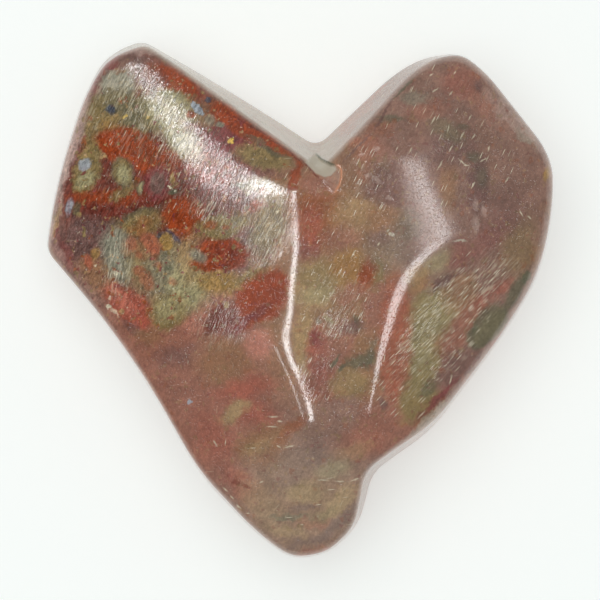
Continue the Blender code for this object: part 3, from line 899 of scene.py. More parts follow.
# Small marks with clear edges, painted over the areas
SPOTS = [
    # Left lobe
    (-26.6, 19.2, 1.75, 2.3, 15, "moss", 0.2, 0.7),
    (-26.6, 19.2, 1.4, 1.95, 15, "olive", 0.25, 0.95),
    (-26.5, 18.8, 0.85, 1.4, 15, "sand", 0.5, 0.95),
    (-32.3, 20.3, 0.8, 1.1, -45, "sky", 0.25, 0.8),
    (-24, 16.8, 0.6, 1.1, -15, "moss", 0.2, 0.7),
    (-24, 16.8, 0.4, 0.85, -15, "sand", 0.3, 0.8),
    (-21.4, 17.5, 2, 2.5, 0, "maroon", 0.25, 0.9),
    (-21.4, 17.5, 1.1, 1.7, 0, "plum", 0.3, 0.95),
    (-19.2, 18.3, 0.35, 0.8, 0, "ochre", 0.4, 0.9),
    (-19.5, 16.95, 0.4, 0.16, -30, "cream", 0.4, 1),
    (-19, 16.2, 0.7, 0.5, 15, "moss", 0.4, 0.9),
    (-18.7, 16.3, 0.22, 0.2, 0, "cream", 0.4, 1),
    (-28.4, 28.6, 0.8, 0.65, -30, "ink", 0.4, 0.95),
    (-28.3, 26.7, 1.6, 1.1, 15, "ochre", 0.6, 0.55),
    (-26.3, 27.6, 0.4, 0.2, 30, "gold", 0.4, 0.8),
    (-22.7, 27.3, 0.25, 0.2, 0, "gold", 0.4, 0.8),
    (-29.6, 21.6, 0.5, 0.4, 0, "tan", 0.4, 0.9),
    (-15.4, 28.7, 1.25, 0.45, -45, "sky", 0.2, 0.95),
    (-16, 29.3, 0.4, 0.45, 0, "sky", 0.3, 0.9),
    (-13.8, 30.1, 0.5, 0.4, -15, "ink", 0.4, 0.8),
    (-10.3, 23.9, 0.45, 0.4, 30, "gold", 0.3, 1),
    (-12, 26.3, 0.6, 0.45, 0, "slate", 0.4, 0.9),
    (-13.5, 27, 0.7, 0.9, 0, "slate", 0.5, 0.6),
    (-16.3, 27.8, 0.8, 0.55, 0, "brick", 0.4, 0.9),
    (-20.9, 31.6, 0.4, 0.3, 0, "tan", 0.4, 0.8),
    (-36.5, 12, 0.35, 2.4, -15, "tan", 0.5, 0.6),
    (-34.6, 14, 0.5, 1.2, -15, "sky", 0.5, 0.8),
    (-33.5, 13.8, 0.6, 1, -15, "moss", 0.5, 0.7),
    (-19, 9.6, 1.5, 0.4, -45, "ink", 0.4, 0.7),
    (-20.7, 9.7, 1, 0.3, 15, "ink", 0.5, 0.6),
    (-20, 8.7, 1, 1.35, 0, "ochre", 0.2, 1),
    (-22.3, 8.6, 1.9, 1.1, -45, "orange", 0.3, 0.75),
    (-22, 7.4, 0.8, 1.3, 15, "orange", 0.35, 0.65),
    (-25.4, 8.4, 0.8, 1, 15, "orange", 0.4, 0.6),
    (-24.1, 6.7, 0.7, 0.5, -30, "orange", 0.5, 0.5),
    (-22.9, 2.8, 1, 1.4, 30, "orange", 0.45, 0.6),
    (-24.1, 4.4, 0.9, 0.7, 15, "orange", 0.5, 0.6),
    (-19, 2.7, 0.7, 0.5, 0, "orange", 0.6, 0.5),
    (-21.3, 5.3, 0.6, 0.5, 0, "orange", 0.6, 0.5),
    (-19.7, 4.8, 0.5, 0.4, 0, "moss", 0.6, 0.8),
    (-31.7, 5.7, 0.6, 1.1, 15, "orange", 0.4, 0.95),
    (-30.7, 7, 0.7, 0.9, -15, "ochre", 0.4, 0.7),
    (-15.3, 6.6, 1.4, 0.8, -30, "slate", 0.45, 0.8),
    (-13.4, 11.3, 1, 0.7, 15, "rust", 0.5, 0.85),
    (-28.7, -1, 0.4, 0.35, 0, "cream", 0.4, 0.95),
    (-27.7, -1.8, 0.7, 0.25, -45, "cream", 0.6, 0.6),
    (-26.7, -1.7, 0.4, 0.35, 0, "tan", 0.5, 0.8),
    (-28.6, 0.3, 0.2, 0.4, 0, "cream", 0.6, 0.6),
    (-27.6, 4.1, 0.4, 0.3, 0, "cream", 0.5, 0.8),
    (-30.6, 5.1, 0.2, 0.2, 0, "cream", 0.5, 0.7),
    (-11.1, -0.7, 0.45, 0.4, 0, "tan", 0.4, 0.95),
    (-12.9, 0.9, 1.6, 0.4, 0, "tan", 0.6, 0.5),
    (-16.5, -15.3, 0.3, 0.4, 0, "sky", 0.4, 0.8),
    (-6.2, -6.6, 2.1, 2.3, 0, "pink", 0.5, 0.8),
    (-6.1, -6.8, 1.2, 1.4, 0, "rose_red", 0.35, 0.15),
    (-6.9, -5.8, 0.12, 0.12, 0, "moss", 0.5, 0.8),
    (-8, -28, 0.7, 0.25, -15, "deep_red", 0.5, 0.6),
    (-9.6, -27.4, 0.7, 0.3, -15, "deep_red", 0.5, 0.6),
    # Middle
    (1.5, 8.8, 0.4, 0.6, 0, "orange", 0.5, 0.9),
    (4.4, -3, 1, 0.35, -30, "sand", 0.6, 0.6),
    (4.6, -3.9, 0.5, 0.35, 0, "raw", 0.6, 0.4),
    (2.8, -3.2, 0.5, 0.35, 0, "slate", 0.6, 0.6),
    (5.3, -9.2, 1.2, 0.3, 60, "moss", 0.5, 0.8),
    (6.3, -10.2, 0.8, 0.3, 45, "moss", 0.5, 0.8),
    (13.7, 9.8, 0.3, 0.2, -15, "raw", 0.5, 0.8),
    (13.2, 10.3, 0.25, 0.2, 0, "raw", 0.5, 0.7),
    (10.1, 18.6, 0.4, 0.25, 0, "rim", 0.5, 0.45),
    (11.5, 18.1, 0.9, 0.3, -45, "rim", 0.5, 0.45),
    (13.4, 15.2, 0.5, 0.3, 0, "rim", 0.5, 0.45),
    (11.5, 22.7, 0.4, 0.35, 30, "rim", 0.5, 0.45),
    (9.2, 21.9, 0.5, 0.2, 0, "rim", 0.5, 0.45),
    (8.9, 20.3, 0.2, 0.6, 15, "tan", 0.5, 0.6),
    # Right lobe
    (28.6, -3.6, 3.3, 2.5, 45, "moss", 0.2, 0.8),
    (26.6, -5.6, 1.8, 1.7, 60, "moss", 0.25, 0.8),
    (29, -3.8, 2.6, 1.8, 45, "leaf", 0.25, 1),
    (27.2, -5.4, 1.6, 1.2, 60, "leaf", 0.3, 1),
    (32.3, 1.2, 3.1, 1, 60, "moss", 0.4, 0.75),
    (34, 3.4, 1.1, 0.6, 60, "moss", 0.4, 0.8),
    (30.9, 2.2, 1.7, 0.5, 45, "rose_red", 0.6, 0.35),
    # Painted highlight: the thin bright spur at the lower right corner of the hazy patch
    (24, 8.9, 0.9, 0.15, 0, "raw", 0.5, 0.8),
    (26.4, 11.3, 0.5, 1.3, 0, "rim", 0.5, 0.45),
    (27.6, 13.4, 0.5, 0.7, 0, "rim", 0.5, 0.45),
    (26.4, 14.3, 0.4, 0.8, 0, "rim", 0.5, 0.45),
    (27.3, 18.4, 0.9, 1.5, 0, "moss", 0.7, 0.5),
    (26, 21.4, 1, 0.8, 0, "moss", 0.7, 0.6),
    (24.4, 26, 0.9, 0.5, 0, "moss", 0.6, 0.5),
    (12.4, -15.6, 0.5, 0.9, 15, "plum", 0.6, 0.8),
    (8.4, -2.9, 0.4, 0.6, 15, "moss", 0.6, 0.5),
    (26.8, 32.2, 0.6, 0.9, -15, "plum", 0.6, 0.8),
    (37, 19, 0.5, 1.2, -15, "ochre", 0.5, 0.8),
    # Dark lines along the left rim and the two sides of the notch
    (-34.8, 13, 5.5, 0.13, 83, "deep_red", 0.6, 0.4),
    (-7.6, 26.2, 3.6, 0.14, -30, "deep_red", 0.5, 0.7),
    (-3, 23.2, 2.4, 0.14, -30, "deep_red", 0.5, 0.7),
    (-0.9, 21.6, 1.6, 0.14, -45, "deep_red", 0.5, 0.8),
    (1.4, 19.8, 2.4, 0.14, -45, "deep_red", 0.5, 0.8),
    (2, 20.2, 2.2, 0.12, -45, "deep_red", 0.5, 0.7),
    (8.6, 22.9, 3.2, 0.14, 45, "plum", 0.5, 0.7),
    (12.6, 28, 2.8, 0.2, 60, "plum", 0.5, 0.8),
    (15.6, 31.8, 2.2, 0.2, 45, "moss", 0.5, 0.7),
]

# Single white chips in the surface: the middle, half the length, and the turn. All share a width and a look.
CHIPS = [
    (19.7, 33.8, 0.3, 30), (23.2, 34.1, 0.3, 60), (20.3, 31.5, 0.45, 30), (22.6, 31, 0.38, 60),
    (16.6, 22.5, 0.38, 60), (20, 27, 0.6, 60), (22.2, 25.7, 0.52, 75), (24.3, 24.7, 0.6, 60),
    (26, 24.5, 0.38, 45), (22.6, 22.7, 0.45, 60), (21, 20.2, 0.68, 60), (24.3, 20.7, 0.52, -45),
    (25, 20.2, 0.38, 0), (27.5, 21, 0.52, 30), (28.3, 22.7, 0.38, 75), (26, 17.3, 0.38, 60),
    (33.2, 13, 0.45, -60), (34.4, 12.4, 0.3, -45), (25.5, 27.4, 0.38, 60), (31, 18, 0.45, 60),
    (18.2, -17.2, 0.68, 45), (22.6, -12, 0.6, 75), (-4, -17.5, 0.6, 0), (-4.2, -19, 0.68, 0),
    (-3, -18.2, 0.3, 0), (-12.7, -21.5, 0.45, -60), (-5.8, -27.3, 0.3, 30), (-1.6, -22, 0.6, 15),
    (-3.2, -22, 0.3, -30), (3.4, -27, 0.68, 0), (6, -27.2, 0.52, 0), (8.2, -27, 0.52, 15),
    (0.3, -33.7, 0.2, 0), (-7.8, -32, 0.2, 0), (-11.2, -28.4, 0.38, -45), (-10.2, -29.6, 0.3, -45),
    (-9.2, -31, 0.38, -45), (11.8, 8.4, 0.22, 60), (8, 6.9, 0.52, 60), (4.8, 1, 0.6, 60),
]
CHIP_WIDTH = 0.1
CHIP_SOFTNESS = 0.7
CHIP_STRENGTH = 0.65

# How far a marking reaches up and down from its middle, in millimetres
AREA_DEPTH = 9.0
SPOT_DEPTH = 3.0
MARKINGS_IN_GROUP = 40
# Height of the camera above the widest line, in millimetres, for the middles of the markings, and how many
# times a middle's height is worked out again
SEEN_FROM = 650.0
SIGHT_STEPS = 4
# Head room above the stone for that, in millimetres
HEAD_ROOM = 1.0
# Share of the last group's colour that is added to a group's coordinates, too small to show
WAIT_SHARE = 1e-7

# Warps that make edges ragged: for each level of noise, its size, how far it pushes, and its detail
GROUND_WARP = [(14.0, 16.0, 3.0), (4.0, 3.0, 3.0)]
AREA_WARP = [(3.6, 2.2, 2.0), (1.2, 1.3, 2.0), (0.4, 0.6, 1.0)]
SPOT_WARP = [(1.0, 0.7, 1.0), (0.35, 0.4, 1.0)]
CHIP_WARP = [(0.5, 0.25, 1.0)]
WARP_ROUGHNESS = 0.6


def crown_height(flat):
    """Height of the stone's surface straight above each place in plan."""
    low = np.full(len(flat), GIRDLE_HEIGHT)
    high = np.full(len(flat), HEART_HIGH.z / MILLIMETRE + HEAD_ROOM)
    for _ in range(SEARCH_STEPS):
        middle = (low + high) / 2.0
        is_inside = stone_distance(np.column_stack((flat, middle))) < 0.0
        low = np.where(is_inside, middle, low)
        high = np.where(is_inside, high, middle)
    return low


def places_on_stone(markings):
    """Each marking's middle on the stone, which stands higher than the widest line and so looks a little
    larger."""
    seen = np.array([(marking.x, marking.y) for marking in markings])
    height = np.full(len(seen), HEART_HIGH.z / MILLIMETRE)
    for _ in range(SIGHT_STEPS):
        flat = seen * (1.0 - (height - GIRDLE_HEIGHT) / SEEN_FROM)[:, None]
        height = crown_height(flat)
    return np.column_stack((flat, height))


def turned_frames(paint, coordinates, markings):
    """The coordinates turned once for each heading that the markings use."""
    turns = sorted({marking.turn for marking in markings})
    return {turn: paint.headed(coordinates, turn) for turn in turns}


def markings_group(name, markings, depth, palette):
    """A node group that lays each marking over the colour in turn."""
    tree = bpy.data.node_groups.new(name, "ShaderNodeTree")
    tree.interface.new_socket("Coordinates", in_out="INPUT", socket_type="NodeSocketVector")
    tree.interface.new_socket("Colour", in_out="INPUT", socket_type="NodeSocketColor")
    tree.interface.new_socket("Colour", in_out="OUTPUT", socket_type="NodeSocketColor")
    paint = Painter(tree)
    coordinates, colour = tree.nodes.new("NodeGroupInput").outputs[:2]
    # The colour is added in so small a share that only the order changes: this group's sums wait for the last
    # group's colour, since Cycles runs out of room and turns the stone black when it holds all at once
    waiting = paint.vector("ADD", coordinates, paint.scaled(colour, WAIT_SHARE))
    frames = turned_frames(paint, waiting, markings)
    for marking, (x, y, height) in zip(markings, places_on_stone(markings)):
        turn = math.radians(marking.turn)
        along = x * math.cos(turn) + y * math.sin(turn)
        across = y * math.cos(turn) - x * math.sin(turn)
        factors = (1.0 / marking.long, 1.0 / marking.wide, 1.0 / depth)
        shift = (-along * factors[0], -across * factors[1], -height * factors[2])
        distance = paint.vector("LENGTH", paint.stretched(frames[marking.turn], factors, shift))
        share = paint.ramp(distance, 1.0 + marking.soft, 1.0 - marking.soft, 0.0, marking.strength)
        colour = paint.mix(share, colour, palette[marking.colour])
    paint.feed(tree.nodes.new("NodeGroupOutput").inputs[0], colour)
    return tree


def paint_markings(paint, coordinates, colour, rows, depth, palette):
    """Lays the markings over the colour, a group of them at a time."""
    markings = [Marking(*row) for row in rows]
    for start in range(0, len(markings), MARKINGS_IN_GROUP):
        group = markings_group("markings", markings[start : start + MARKINGS_IN_GROUP], depth, palette)
        colour = paint.add("ShaderNodeGroup", {0: coordinates, 1: colour}, node_tree=group)[0]
    return colour


def warped(paint, coordinates, levels):
    """Coordinates pushed about by each level of noise, so that what is drawn on them has ragged edges."""
    moved = coordinates
    for size, amount, detail in levels:
        noise = paint.noise(coordinates, size, detail, WARP_ROUGHNESS, colour=True)
        half = amount / 2.0
        moved = paint.vector("ADD", moved, paint.stretched(noise, (amount,) * 3, (-half,) * 3))
    return moved


# Reach of one scratch's cell along and across its heading, how far from the cell's middle the scratch fades,
# and how its strength follows a random tone
SCRATCH_CELL = (2.2, 0.2, 1.0)
SCRATCH_FADE = (0.36, 0.12)
SCRATCH_TONE = (0.35, 1.0, 0.12, 1.0)
# Softness of the choice which places hold a scratch or a fleck
PICK_EDGE = 0.01
# Length, width and depth of the brushing's grooves, the size, detail and roughness of their noise, and its
# values that show as painted highlight streaks and as painted shade in the hollows
GROOVE_CELL = (1.7, 0.26, 1.5)
GROOVE_NOISE = (1.0, 2.0, 0.6)
GLINT_STREAKS = (0.50, 0.64)
SHADED_HOLLOWS = (0.48, 0.38)
# Scratches sway from side to side: heading in degrees, pace and phase along and across it, and how far
SWAY_HEADING = 75.0
SWAY_PACE = (0.9, 1.3, 0.0)
SWAY_PHASE = (0.4, 1.1, 0.0)
SWAY = 0.05
# Places where scratches gather
GATHERED = Blotches(2.6, 1.0, 0.5, 0.38, 0.62, 0.3, 1.5)


def bent(paint, millimetres):
    """Coordinates that sway a little from side to side, so that scratches aren't all straight."""
    across = paint.headed(millimetres, SWAY_HEADING)
    sway = paint.vector("SINE", paint.stretched(across, SWAY_PACE, SWAY_PHASE))
    return paint.vector("ADD", millimetres, paint.scaled(sway, SWAY))


def paint_scratches(paint, millimetres):
    """The scratches, and the grooves' relief, painted highlight streaks and painted shade in their hollows,
    of all families together.
    """
    places = bent(paint, millimetres)
    gathered = paint.blotches(millimetres, GATHERED)
    all_scratches = 0.0
    relief = 0.0
    painted_glints = 0.0
    painted_shade = 0.0
    for heading in FAMILIES:
        share, brush, pale = paint.attribute_parts(f"grinding {heading}")
        distance, pick, tone = paint.cells(paint.headed(places, heading, SCRATCH_CELL), dimensions="2D")
        chance = paint.math("MULTIPLY_ADD", share, gathered, pick)
        picked = paint.ramp(chance, 1.0 - PICK_EDGE, 1.0 + PICK_EDGE)
        strength = paint.math("MULTIPLY", picked, paint.ramp(tone, *SCRATCH_TONE))
        scratches = paint.math("MULTIPLY", paint.ramp(distance, *SCRATCH_FADE), strength)
        all_scratches = paint.math("MAXIMUM", all_scratches, scratches)
        grooves = paint.noise(paint.headed(places, heading, GROOVE_CELL), *GROOVE_NOISE)
        relief = paint.math("MULTIPLY_ADD", grooves, brush, relief)
        glint_streaks = paint.math("MULTIPLY", paint.ramp(grooves, *GLINT_STREAKS), pale, clamp=True)
        painted_glints = paint.math("MAXIMUM", painted_glints, glint_streaks)
        # Painted shade: the grooves' hollows are darkened
        shaded_hollows = paint.math("MULTIPLY", paint.ramp(grooves, *SHADED_HOLLOWS), brush, clamp=True)
        painted_shade = paint.math("MAXIMUM", painted_shade, shaded_hollows)
    return all_scratches, relief, painted_glints, painted_shade


# The ground's clouds and patches: the size, detail and roughness of their noise, then the two noise values
# between which a colour comes in, the colour, and how strong it is
CLOUDS_NOISE = (16.0, 4.0, 0.55)
PATCHES_NOISE = (9.0, 3.0, 0.5)
GROUND_CLOUDS = [(0.30, 0.42, "mauve", 1.0), (0.54, 0.60, "rose", 1.0), (0.66, 0.70, "olive", 1.0)]
GROUND_PATCHES = [(0.60, 0.66, "umber", 0.8), (0.36, 0.30, "brick", 0.7)]
PATCHES_SHIFT = (40.0, 7.0, 19.0)


def paint_ground(paint, millimetres, palette):
    """The stone's own colours away from the crown's markings: drifting clouds of brown, red and green."""
    drift = warped(paint, millimetres, GROUND_WARP)
    clouds = paint.noise(drift, *CLOUDS_NOISE)
    patches = paint.noise(paint.vector("ADD", drift, PATCHES_SHIFT), *PATCHES_NOISE)
    colour = palette["plum"]
    for noise, layers in ((clouds, GROUND_CLOUDS), (patches, GROUND_PATCHES)):
        for start, end, name, strength in layers:
            colour = paint.mix(paint.ramp(noise, start, end, 0.0, strength), colour, palette[name])
    return colour


# Flecks scattered through the colours: their size, their reach as a share of it, how many places hold one,
# and the two colours that they take
Flecks = namedtuple("Flecks", "size reach share first second")

FLECKS = [
    Flecks(1.1, 0.34, 0.24, "olive", "rust"),
    Flecks(0.8, 0.30, 0.34, "tan", "maroon"),
    Flecks(0.6, 0.17, 0.2, "cream", "ochre"),
]
# Between one kind and the next the pattern moves this far
FLECKS_SHIFT = (31.0, 17.0, 5.0)
# How strong the flecks are off and on the flecked lobe, the shares of their reach between which they fade,
# and the random tones between which they change colour
FLECKS_STRENGTH = (0.3, 0.85)
FLECKS_OUTER = 1.4
FLECKS_INNER = 0.7
FLECKS_TONE = (0.49, 0.51)


def paint_flecks(paint, drift, colour, palette):
    """Lays each kind of fleck over the colour, strongly on the left lobe and faintly elsewhere."""
    strength = paint.ramp(paint.attribute("flecked"), 0.0, 1.0, *FLECKS_STRENGTH)
    for number, flecks in enumerate(FLECKS):
        shifted = paint.vector("ADD", drift, tuple(number * part for part in FLECKS_SHIFT))
        distance, pick, tone = paint.cells(shifted, flecks.size)
        picked = paint.ramp(pick, 1.0 - flecks.share, 1.0 - flecks.share + 2.0 * PICK_EDGE)
        speck = paint.ramp(distance, flecks.reach * FLECKS_OUTER, flecks.reach * FLECKS_INNER)
        own = paint.mix(paint.ramp(tone, *FLECKS_TONE), palette[flecks.first], palette[flecks.second])
        shown = paint.math("MULTIPLY", paint.math("MULTIPLY", speck, picked), strength)
        colour = paint.mix(shown, colour, own)
    return colour


# Light and dark in the colours: fine grain, clouds, and fibres along the main grinding, which show most on
# the flecked lobe
GRAIN = Blotches(0.45, 2.0, 0.6, 0.25, 0.75, 0.87, 1.13)
CLOUDS = Blotches(3.0, 3.0, 0.65, 0.3, 0.7, 0.87, 1.13)
FIBRES = Blotches(1.0, 2.0, 0.7, 0.3, 0.7, 0.62, 1.45)
FIBRE_HEADING = 62
FIBRE_CELL = (1.0, 0.3, 1.0)
FIBRE_STRENGTH = (0.25, 1.0)
# Painted reflection on the walls and on the notch's walls, in pale blotches, where they mirror the bright
# floor at a grazing angle
WALL_SHEEN = Blotches(2.5, 3.0, 0.7, 0.35, 0.65, 0.2, 0.55)
NOTCH_SHEEN = Blotches(1.8, 3.0, 0.7, 0.3, 0.7, 0.4, 0.75)
# Strengths of the painted shade in the grooves' hollows, of the painted highlight streaks, of the scratches'
# paleness, which is partly a painted glint, and of the raw stone's colour with its painted reflection, and
# the shares of the broken edge between which its rim turns from painted shade in the crack to a pale lip that
# is partly a painted glint
SHADED_HOLLOWS_STRENGTH = 0.5
GLINT_STREAKS_STRENGTH = 0.55
SCRATCHES_STRENGTH = 0.85
RAW_STRENGTH = 0.85
CRACK_SHADE = (0.44, 0.36)
LIP_AND_GLINT = (0.38, 0.48)
# Roughness of the polish, clear and hazy, and what scratches and the break add to it
POLISH = (0.10, 0.175)
SCRATCH_DULLNESS = 0.25
BREAK_DULLNESS = 0.4
# Pits between the grains: the size, detail and roughness of their noise, its values between which they sink,
# how much the haze adds to it, and the depth of a scratch as a share of a pit's
PIT_NOISE = (0.27, 1.0, 0.5)
PIT_EDGE = (0.58, 0.68)
HAZE_PITS = 0.04
SCRATCH_SHARE_OF_PIT = 0.5
JASPER_IOR = 1.54


def shaded(paint, ragged, spotty, colour):
    """The colour with its grain, clouds and fibres."""
    shade = paint.math("MULTIPLY", paint.blotches(spotty, GRAIN), paint.blotches(ragged, CLOUDS))
    colour = paint.mix(1.0, colour, shade, "MULTIPLY")
    fibres = paint.blotches(paint.headed(spotty, FIBRE_HEADING, FIBRE_CELL), FIBRES)
    fibrous = paint.mix(1.0, colour, fibres, "MULTIPLY")
    return paint.mix(paint.ramp(paint.attribute("flecked"), 0.0, 1.0, *FIBRE_STRENGTH), colour, fibrous)


def make_jasper(settings):
    """The polished jasper, with its markings, flecks, scratches and the break at the notch."""
    material = bpy.data.materials.new("polished jasper")
    material.use_nodes = True
    shader = material.node_tree.nodes["Principled BSDF"]
    paint = Painter(material.node_tree)
    names = [name for name in JasperSettings.__annotations__ if not name.endswith("_depth")]
    palette = {name: linear(getattr(settings, name)) for name in names}

    millimetres = paint.scaled(paint.add("ShaderNodeTexCoord", {})["Object"], 1.0 / MILLIMETRE)
    ragged = warped(paint, millimetres, AREA_WARP)
    spotty = warped(paint, millimetres, SPOT_WARP)
    chipped = warped(paint, millimetres, CHIP_WARP)

    colour = paint_ground(paint, millimetres, palette)
    colour = paint_markings(paint, ragged, colour, AREAS, AREA_DEPTH, palette)
    colour = paint_flecks(paint, ragged, colour, palette)
    colour = paint_markings(paint, spotty, colour, SPOTS, SPOT_DEPTH, palette)
    finish = ("cream", CHIP_SOFTNESS, CHIP_STRENGTH)
    chips = [(x, y, long, CHIP_WIDTH, turn, *finish) for x, y, long, turn in CHIPS]
    colour = paint_markings(paint, chipped, colour, chips, SPOT_DEPTH, palette)
    colour = shaded(paint, ragged, spotty, colour)

    scratches, relief, painted_glints, painted_shade = paint_scratches(paint, millimetres)
    edge = paint.attribute("break_edge")
    along = paint.attribute("break_along")
    for share, strength, name in (
        # Painted shade in the grooves' hollows
        (painted_shade, SHADED_HOLLOWS_STRENGTH, "moss"),
        # Painted highlight streaks along the grooves
        (painted_glints, GLINT_STREAKS_STRENGTH, "cream"),
        # The scratches' paleness, part their own frosting and part a painted glint
        (scratches, SCRATCHES_STRENGTH, "cream"),
        # Painted reflection on the walls, in pale blotches of the rim colour
        (paint.attribute("wall"), paint.blotches(ragged, WALL_SHEEN), "rim"),
        # Painted reflection on the notch's walls, in pale blotches of the raw colour
        (paint.attribute("notch_wall"), paint.blotches(ragged, NOTCH_SHEEN), "raw"),
        # The raw stone's own colour with a painted reflection of the bright surroundings
        (paint.attribute("raw"), RAW_STRENGTH, "raw"),
        # Painted shade in the undercut crack along the broken edge
        (edge, paint.ramp(along, *CRACK_SHADE), "moss"),
        # The break's pale lip, part its own colour and part a painted glint
        (edge, paint.ramp(along, *LIP_AND_GLINT), "raw_rim"),
    ):
        colour = paint.mix(paint.math("MULTIPLY", share, strength), colour, palette[name])
    paint.feed(shader.inputs["Base Color"], colour)

    roughness = paint.ramp(paint.attribute("haze"), 0.0, 1.0, *POLISH)
    roughness = paint.math("MULTIPLY_ADD", scratches, SCRATCH_DULLNESS, roughness)
    roughness = paint.math("MULTIPLY_ADD", paint.attribute("break_share"), BREAK_DULLNESS, roughness)
    paint.feed(shader.inputs["Roughness"], roughness)
    shader.inputs["IOR"].default_value = JASPER_IOR

    grains = paint.noise(millimetres, *PIT_NOISE)
    pits = paint.ramp(paint.math("MULTIPLY_ADD", paint.attribute("haze"), HAZE_PITS, grains), *PIT_EDGE)
    height = paint.math("MULTIPLY", relief, settings.groove_depth)
    height = paint.math("MULTIPLY_ADD", pits, -settings.pit_depth, height)
    height = paint.math("MULTIPLY_ADD", scratches, -SCRATCH_SHARE_OF_PIT * settings.pit_depth, height)
    paint.feed(shader.inputs["Normal"], paint.bump(height, MILLIMETRE))
    return material


class JASPER_OT_cut_stone(bpy.types.Operator):
    """Cuts and polishes the heart-shaped stone"""

    bl_idname = "jasper.cut_stone"
    bl_label = "Cut Stone"

    def execute(self, context):
        stone = bpy.data.objects.new("heart_stone", make_stone_mesh(context.scene.jasper_stone))
        context.scene.collection.objects.link(stone)
        stone.data.materials.append(make_jasper(context.scene.jasper_colours))
        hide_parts("heart")
        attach(stone, "root")
        return {"FINISHED"}


# The stage

FLOOR_SIDE = 6.0
FLOOR_HEIGHT = -0.00003
SENSOR_WIDTH = 36.0

# A light: its place, its width and length in metres, and its power compared with the setting for its kind
Lamp = namedtuple("Lamp", "name place width length share")

OVERHEAD = Lamp("overhead light", (-0.15, 0.2, 1.3), 1.1, 1.1, 1.0)
MIRRORED = [
    Lamp("left strip light", (-0.182, -0.02, 1.0), 0.076, 0.68, 0.64),
    Lamp("thin strip light", (-0.361, -0.25, 1.0), 0.012, 0.2, 0.04),
    Lamp("upper left box light", (-0.428, 0.345, 1.0), 0.2, 0.21, 0.9),
    Lamp("right strip light", (0.325, 0.082, 1.0), 0.13, 0.62, 0.63),
]
CARD_PLACE = (-0.62, -0.02, 0.95)
CARD_RADIUS = 0.3
CARD_SEGMENTS = 48
TENT_COLOUR = (0.985, 1.0, 0.985, 1.0)


def flat_object(name, bm, material_name, colour):
    """A flat object with the bmesh's faces and a dull, even material."""
    mesh = finished_mesh(name, bm)
    material = bpy.data.materials.new(material_name)
    material.use_nodes = True
    shader = material.node_tree.nodes["Principled BSDF"]
    shader.inputs["Base Color"].default_value = colour
    shader.inputs["Roughness"].default_value = 1.0
    shader.inputs["Specular IOR Level"].default_value = 0.0
    mesh.materials.append(material)
    return bpy.data.objects.new(name, mesh), shader


def make_floor(settings):
    bm = bmesh.new()
    bmesh.ops.create_grid(bm, x_segments=1, y_segments=1, size=FLOOR_SIDE / 2.0)
    bmesh.ops.translate(bm, vec=(0.0, 0.0, FLOOR_HEIGHT), verts=bm.verts)
    colour = linear(settings.floor_colour)
    floor, shader = flat_object("floor", bm, "plain pale floor", colour)
    shader.inputs["Emission Color"].default_value = colour
    shader.inputs["Emission Strength"].default_value = settings.floor_glow
    return floor


def make_light(lamp, power):
    """A soft box that faces the stone."""
    light = bpy.data.lights.new(lamp.name, "AREA")
    light.shape = "RECTANGLE"
    light.size = lamp.width
    light.size_y = lamp.length
    light.energy = power * lamp.share
    box = bpy.data.objects.new(lamp.name, light)
    box.location = lamp.place
    away = box.location.normalized()
    across = Vector((0.0, 1.0, 0.0)).cross(away).normalized()
    box.rotation_euler = Matrix((across, away.cross(across), away)).transposed().to_euler()
    return box


def make_card():
    """A black card that only shows in the polish, where it keeps the left lobe deep in colour."""
    bm = bmesh.new()
    bmesh.ops.create_circle(bm, cap_ends=True, segments=CARD_SEGMENTS, radius=CARD_RADIUS)
    card, _ = flat_object("black card", bm, "black card", (0.0, 0.0, 0.0, 1.0))
    card.location = CARD_PLACE
    card.rotation_euler = card.location.to_track_quat("Z", "Y").to_euler()
    card.visible_camera = False
    card.visible_diffuse = False
    card.visible_shadow = False
    return card


def make_camera(settings):
    camera_data = bpy.data.cameras.new("camera")
    camera_data.sensor_width = SENSOR_WIDTH
    camera_data.lens = SENSOR_WIDTH * settings.camera_height / settings.frame_width
    camera = bpy.data.objects.new("camera", camera_data)
    camera.location = (0.0, 0.0, settings.camera_height + GIRDLE_HEIGHT * MILLIMETRE)
    return camera


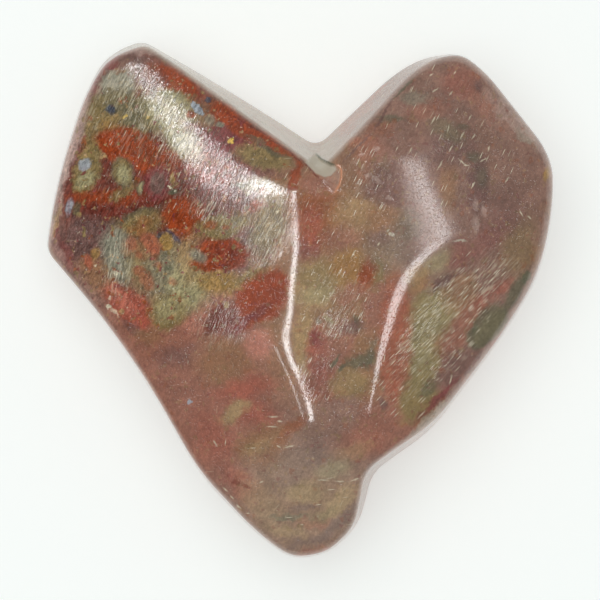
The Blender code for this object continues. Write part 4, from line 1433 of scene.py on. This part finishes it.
def light_tent(settings):
    """An even white tent all round."""
    world = bpy.data.worlds.new("tent")
    world.use_nodes = True
    background = world.node_tree.nodes["Background"]
    background.inputs["Color"].default_value = TENT_COLOUR
    background.inputs["Strength"].default_value = settings.tent_strength
    return world


class JASPER_OT_set_stage(bpy.types.Operator):
    """Lays the floor and sets the lights and the camera"""

    bl_idname = "jasper.set_stage"
    bl_label = "Set Stage"

    def execute(self, context):
        settings = context.scene.jasper_stage
        floor = make_floor(settings)
        card = make_card()
        overhead = make_light(OVERHEAD, settings.overhead_power)
        overhead.visible_glossy = False
        boxes = [make_light(lamp, settings.mirrored_power) for lamp in MIRRORED]
        for box in boxes:
            box.visible_diffuse = False
        camera = make_camera(settings)
        for thing in (floor, card, overhead, *boxes, camera):
            context.scene.collection.objects.link(thing)
        context.scene.world = light_tent(settings)
        context.scene.camera = camera
        context.scene.view_settings.view_transform = "Standard"
        return {"FINISHED"}


class JASPER_PT_sidebar(bpy.types.Panel):
    """Sizes, colours and light of the jasper heart"""

    bl_label = "Jasper Heart"
    bl_space_type = "VIEW_3D"
    bl_region_type = "UI"
    bl_category = "Jasper Heart"

    def draw(self, context):
        for group, operator in (
            (context.scene.jasper_stone, JASPER_OT_cut_stone),
            (context.scene.jasper_colours, None),
            (context.scene.jasper_stage, JASPER_OT_set_stage),
        ):
            box = self.layout.box()
            for name in type(group).__annotations__:
                box.prop(group, name)
            if operator is not None:
                box.operator(operator.bl_idname)


CLASSES = (
    StoneSettings,
    JasperSettings,
    StageSettings,
    JASPER_OT_cut_stone,
    JASPER_OT_set_stage,
    JASPER_PT_sidebar,
)


def register():
    for cls in CLASSES:
        bpy.utils.register_class(cls)
    bpy.types.Scene.jasper_stone = PointerProperty(type=StoneSettings)
    bpy.types.Scene.jasper_colours = PointerProperty(type=JasperSettings)
    bpy.types.Scene.jasper_stage = PointerProperty(type=StageSettings)


def unregister():
    del bpy.types.Scene.jasper_stage
    del bpy.types.Scene.jasper_colours
    del bpy.types.Scene.jasper_stone
    for cls in reversed(CLASSES):
        bpy.utils.unregister_class(cls)


def main():
    register()
    bpy.ops.jasper.cut_stone()
    bpy.ops.jasper.set_stage()


if __name__ == "__main__":
    main()
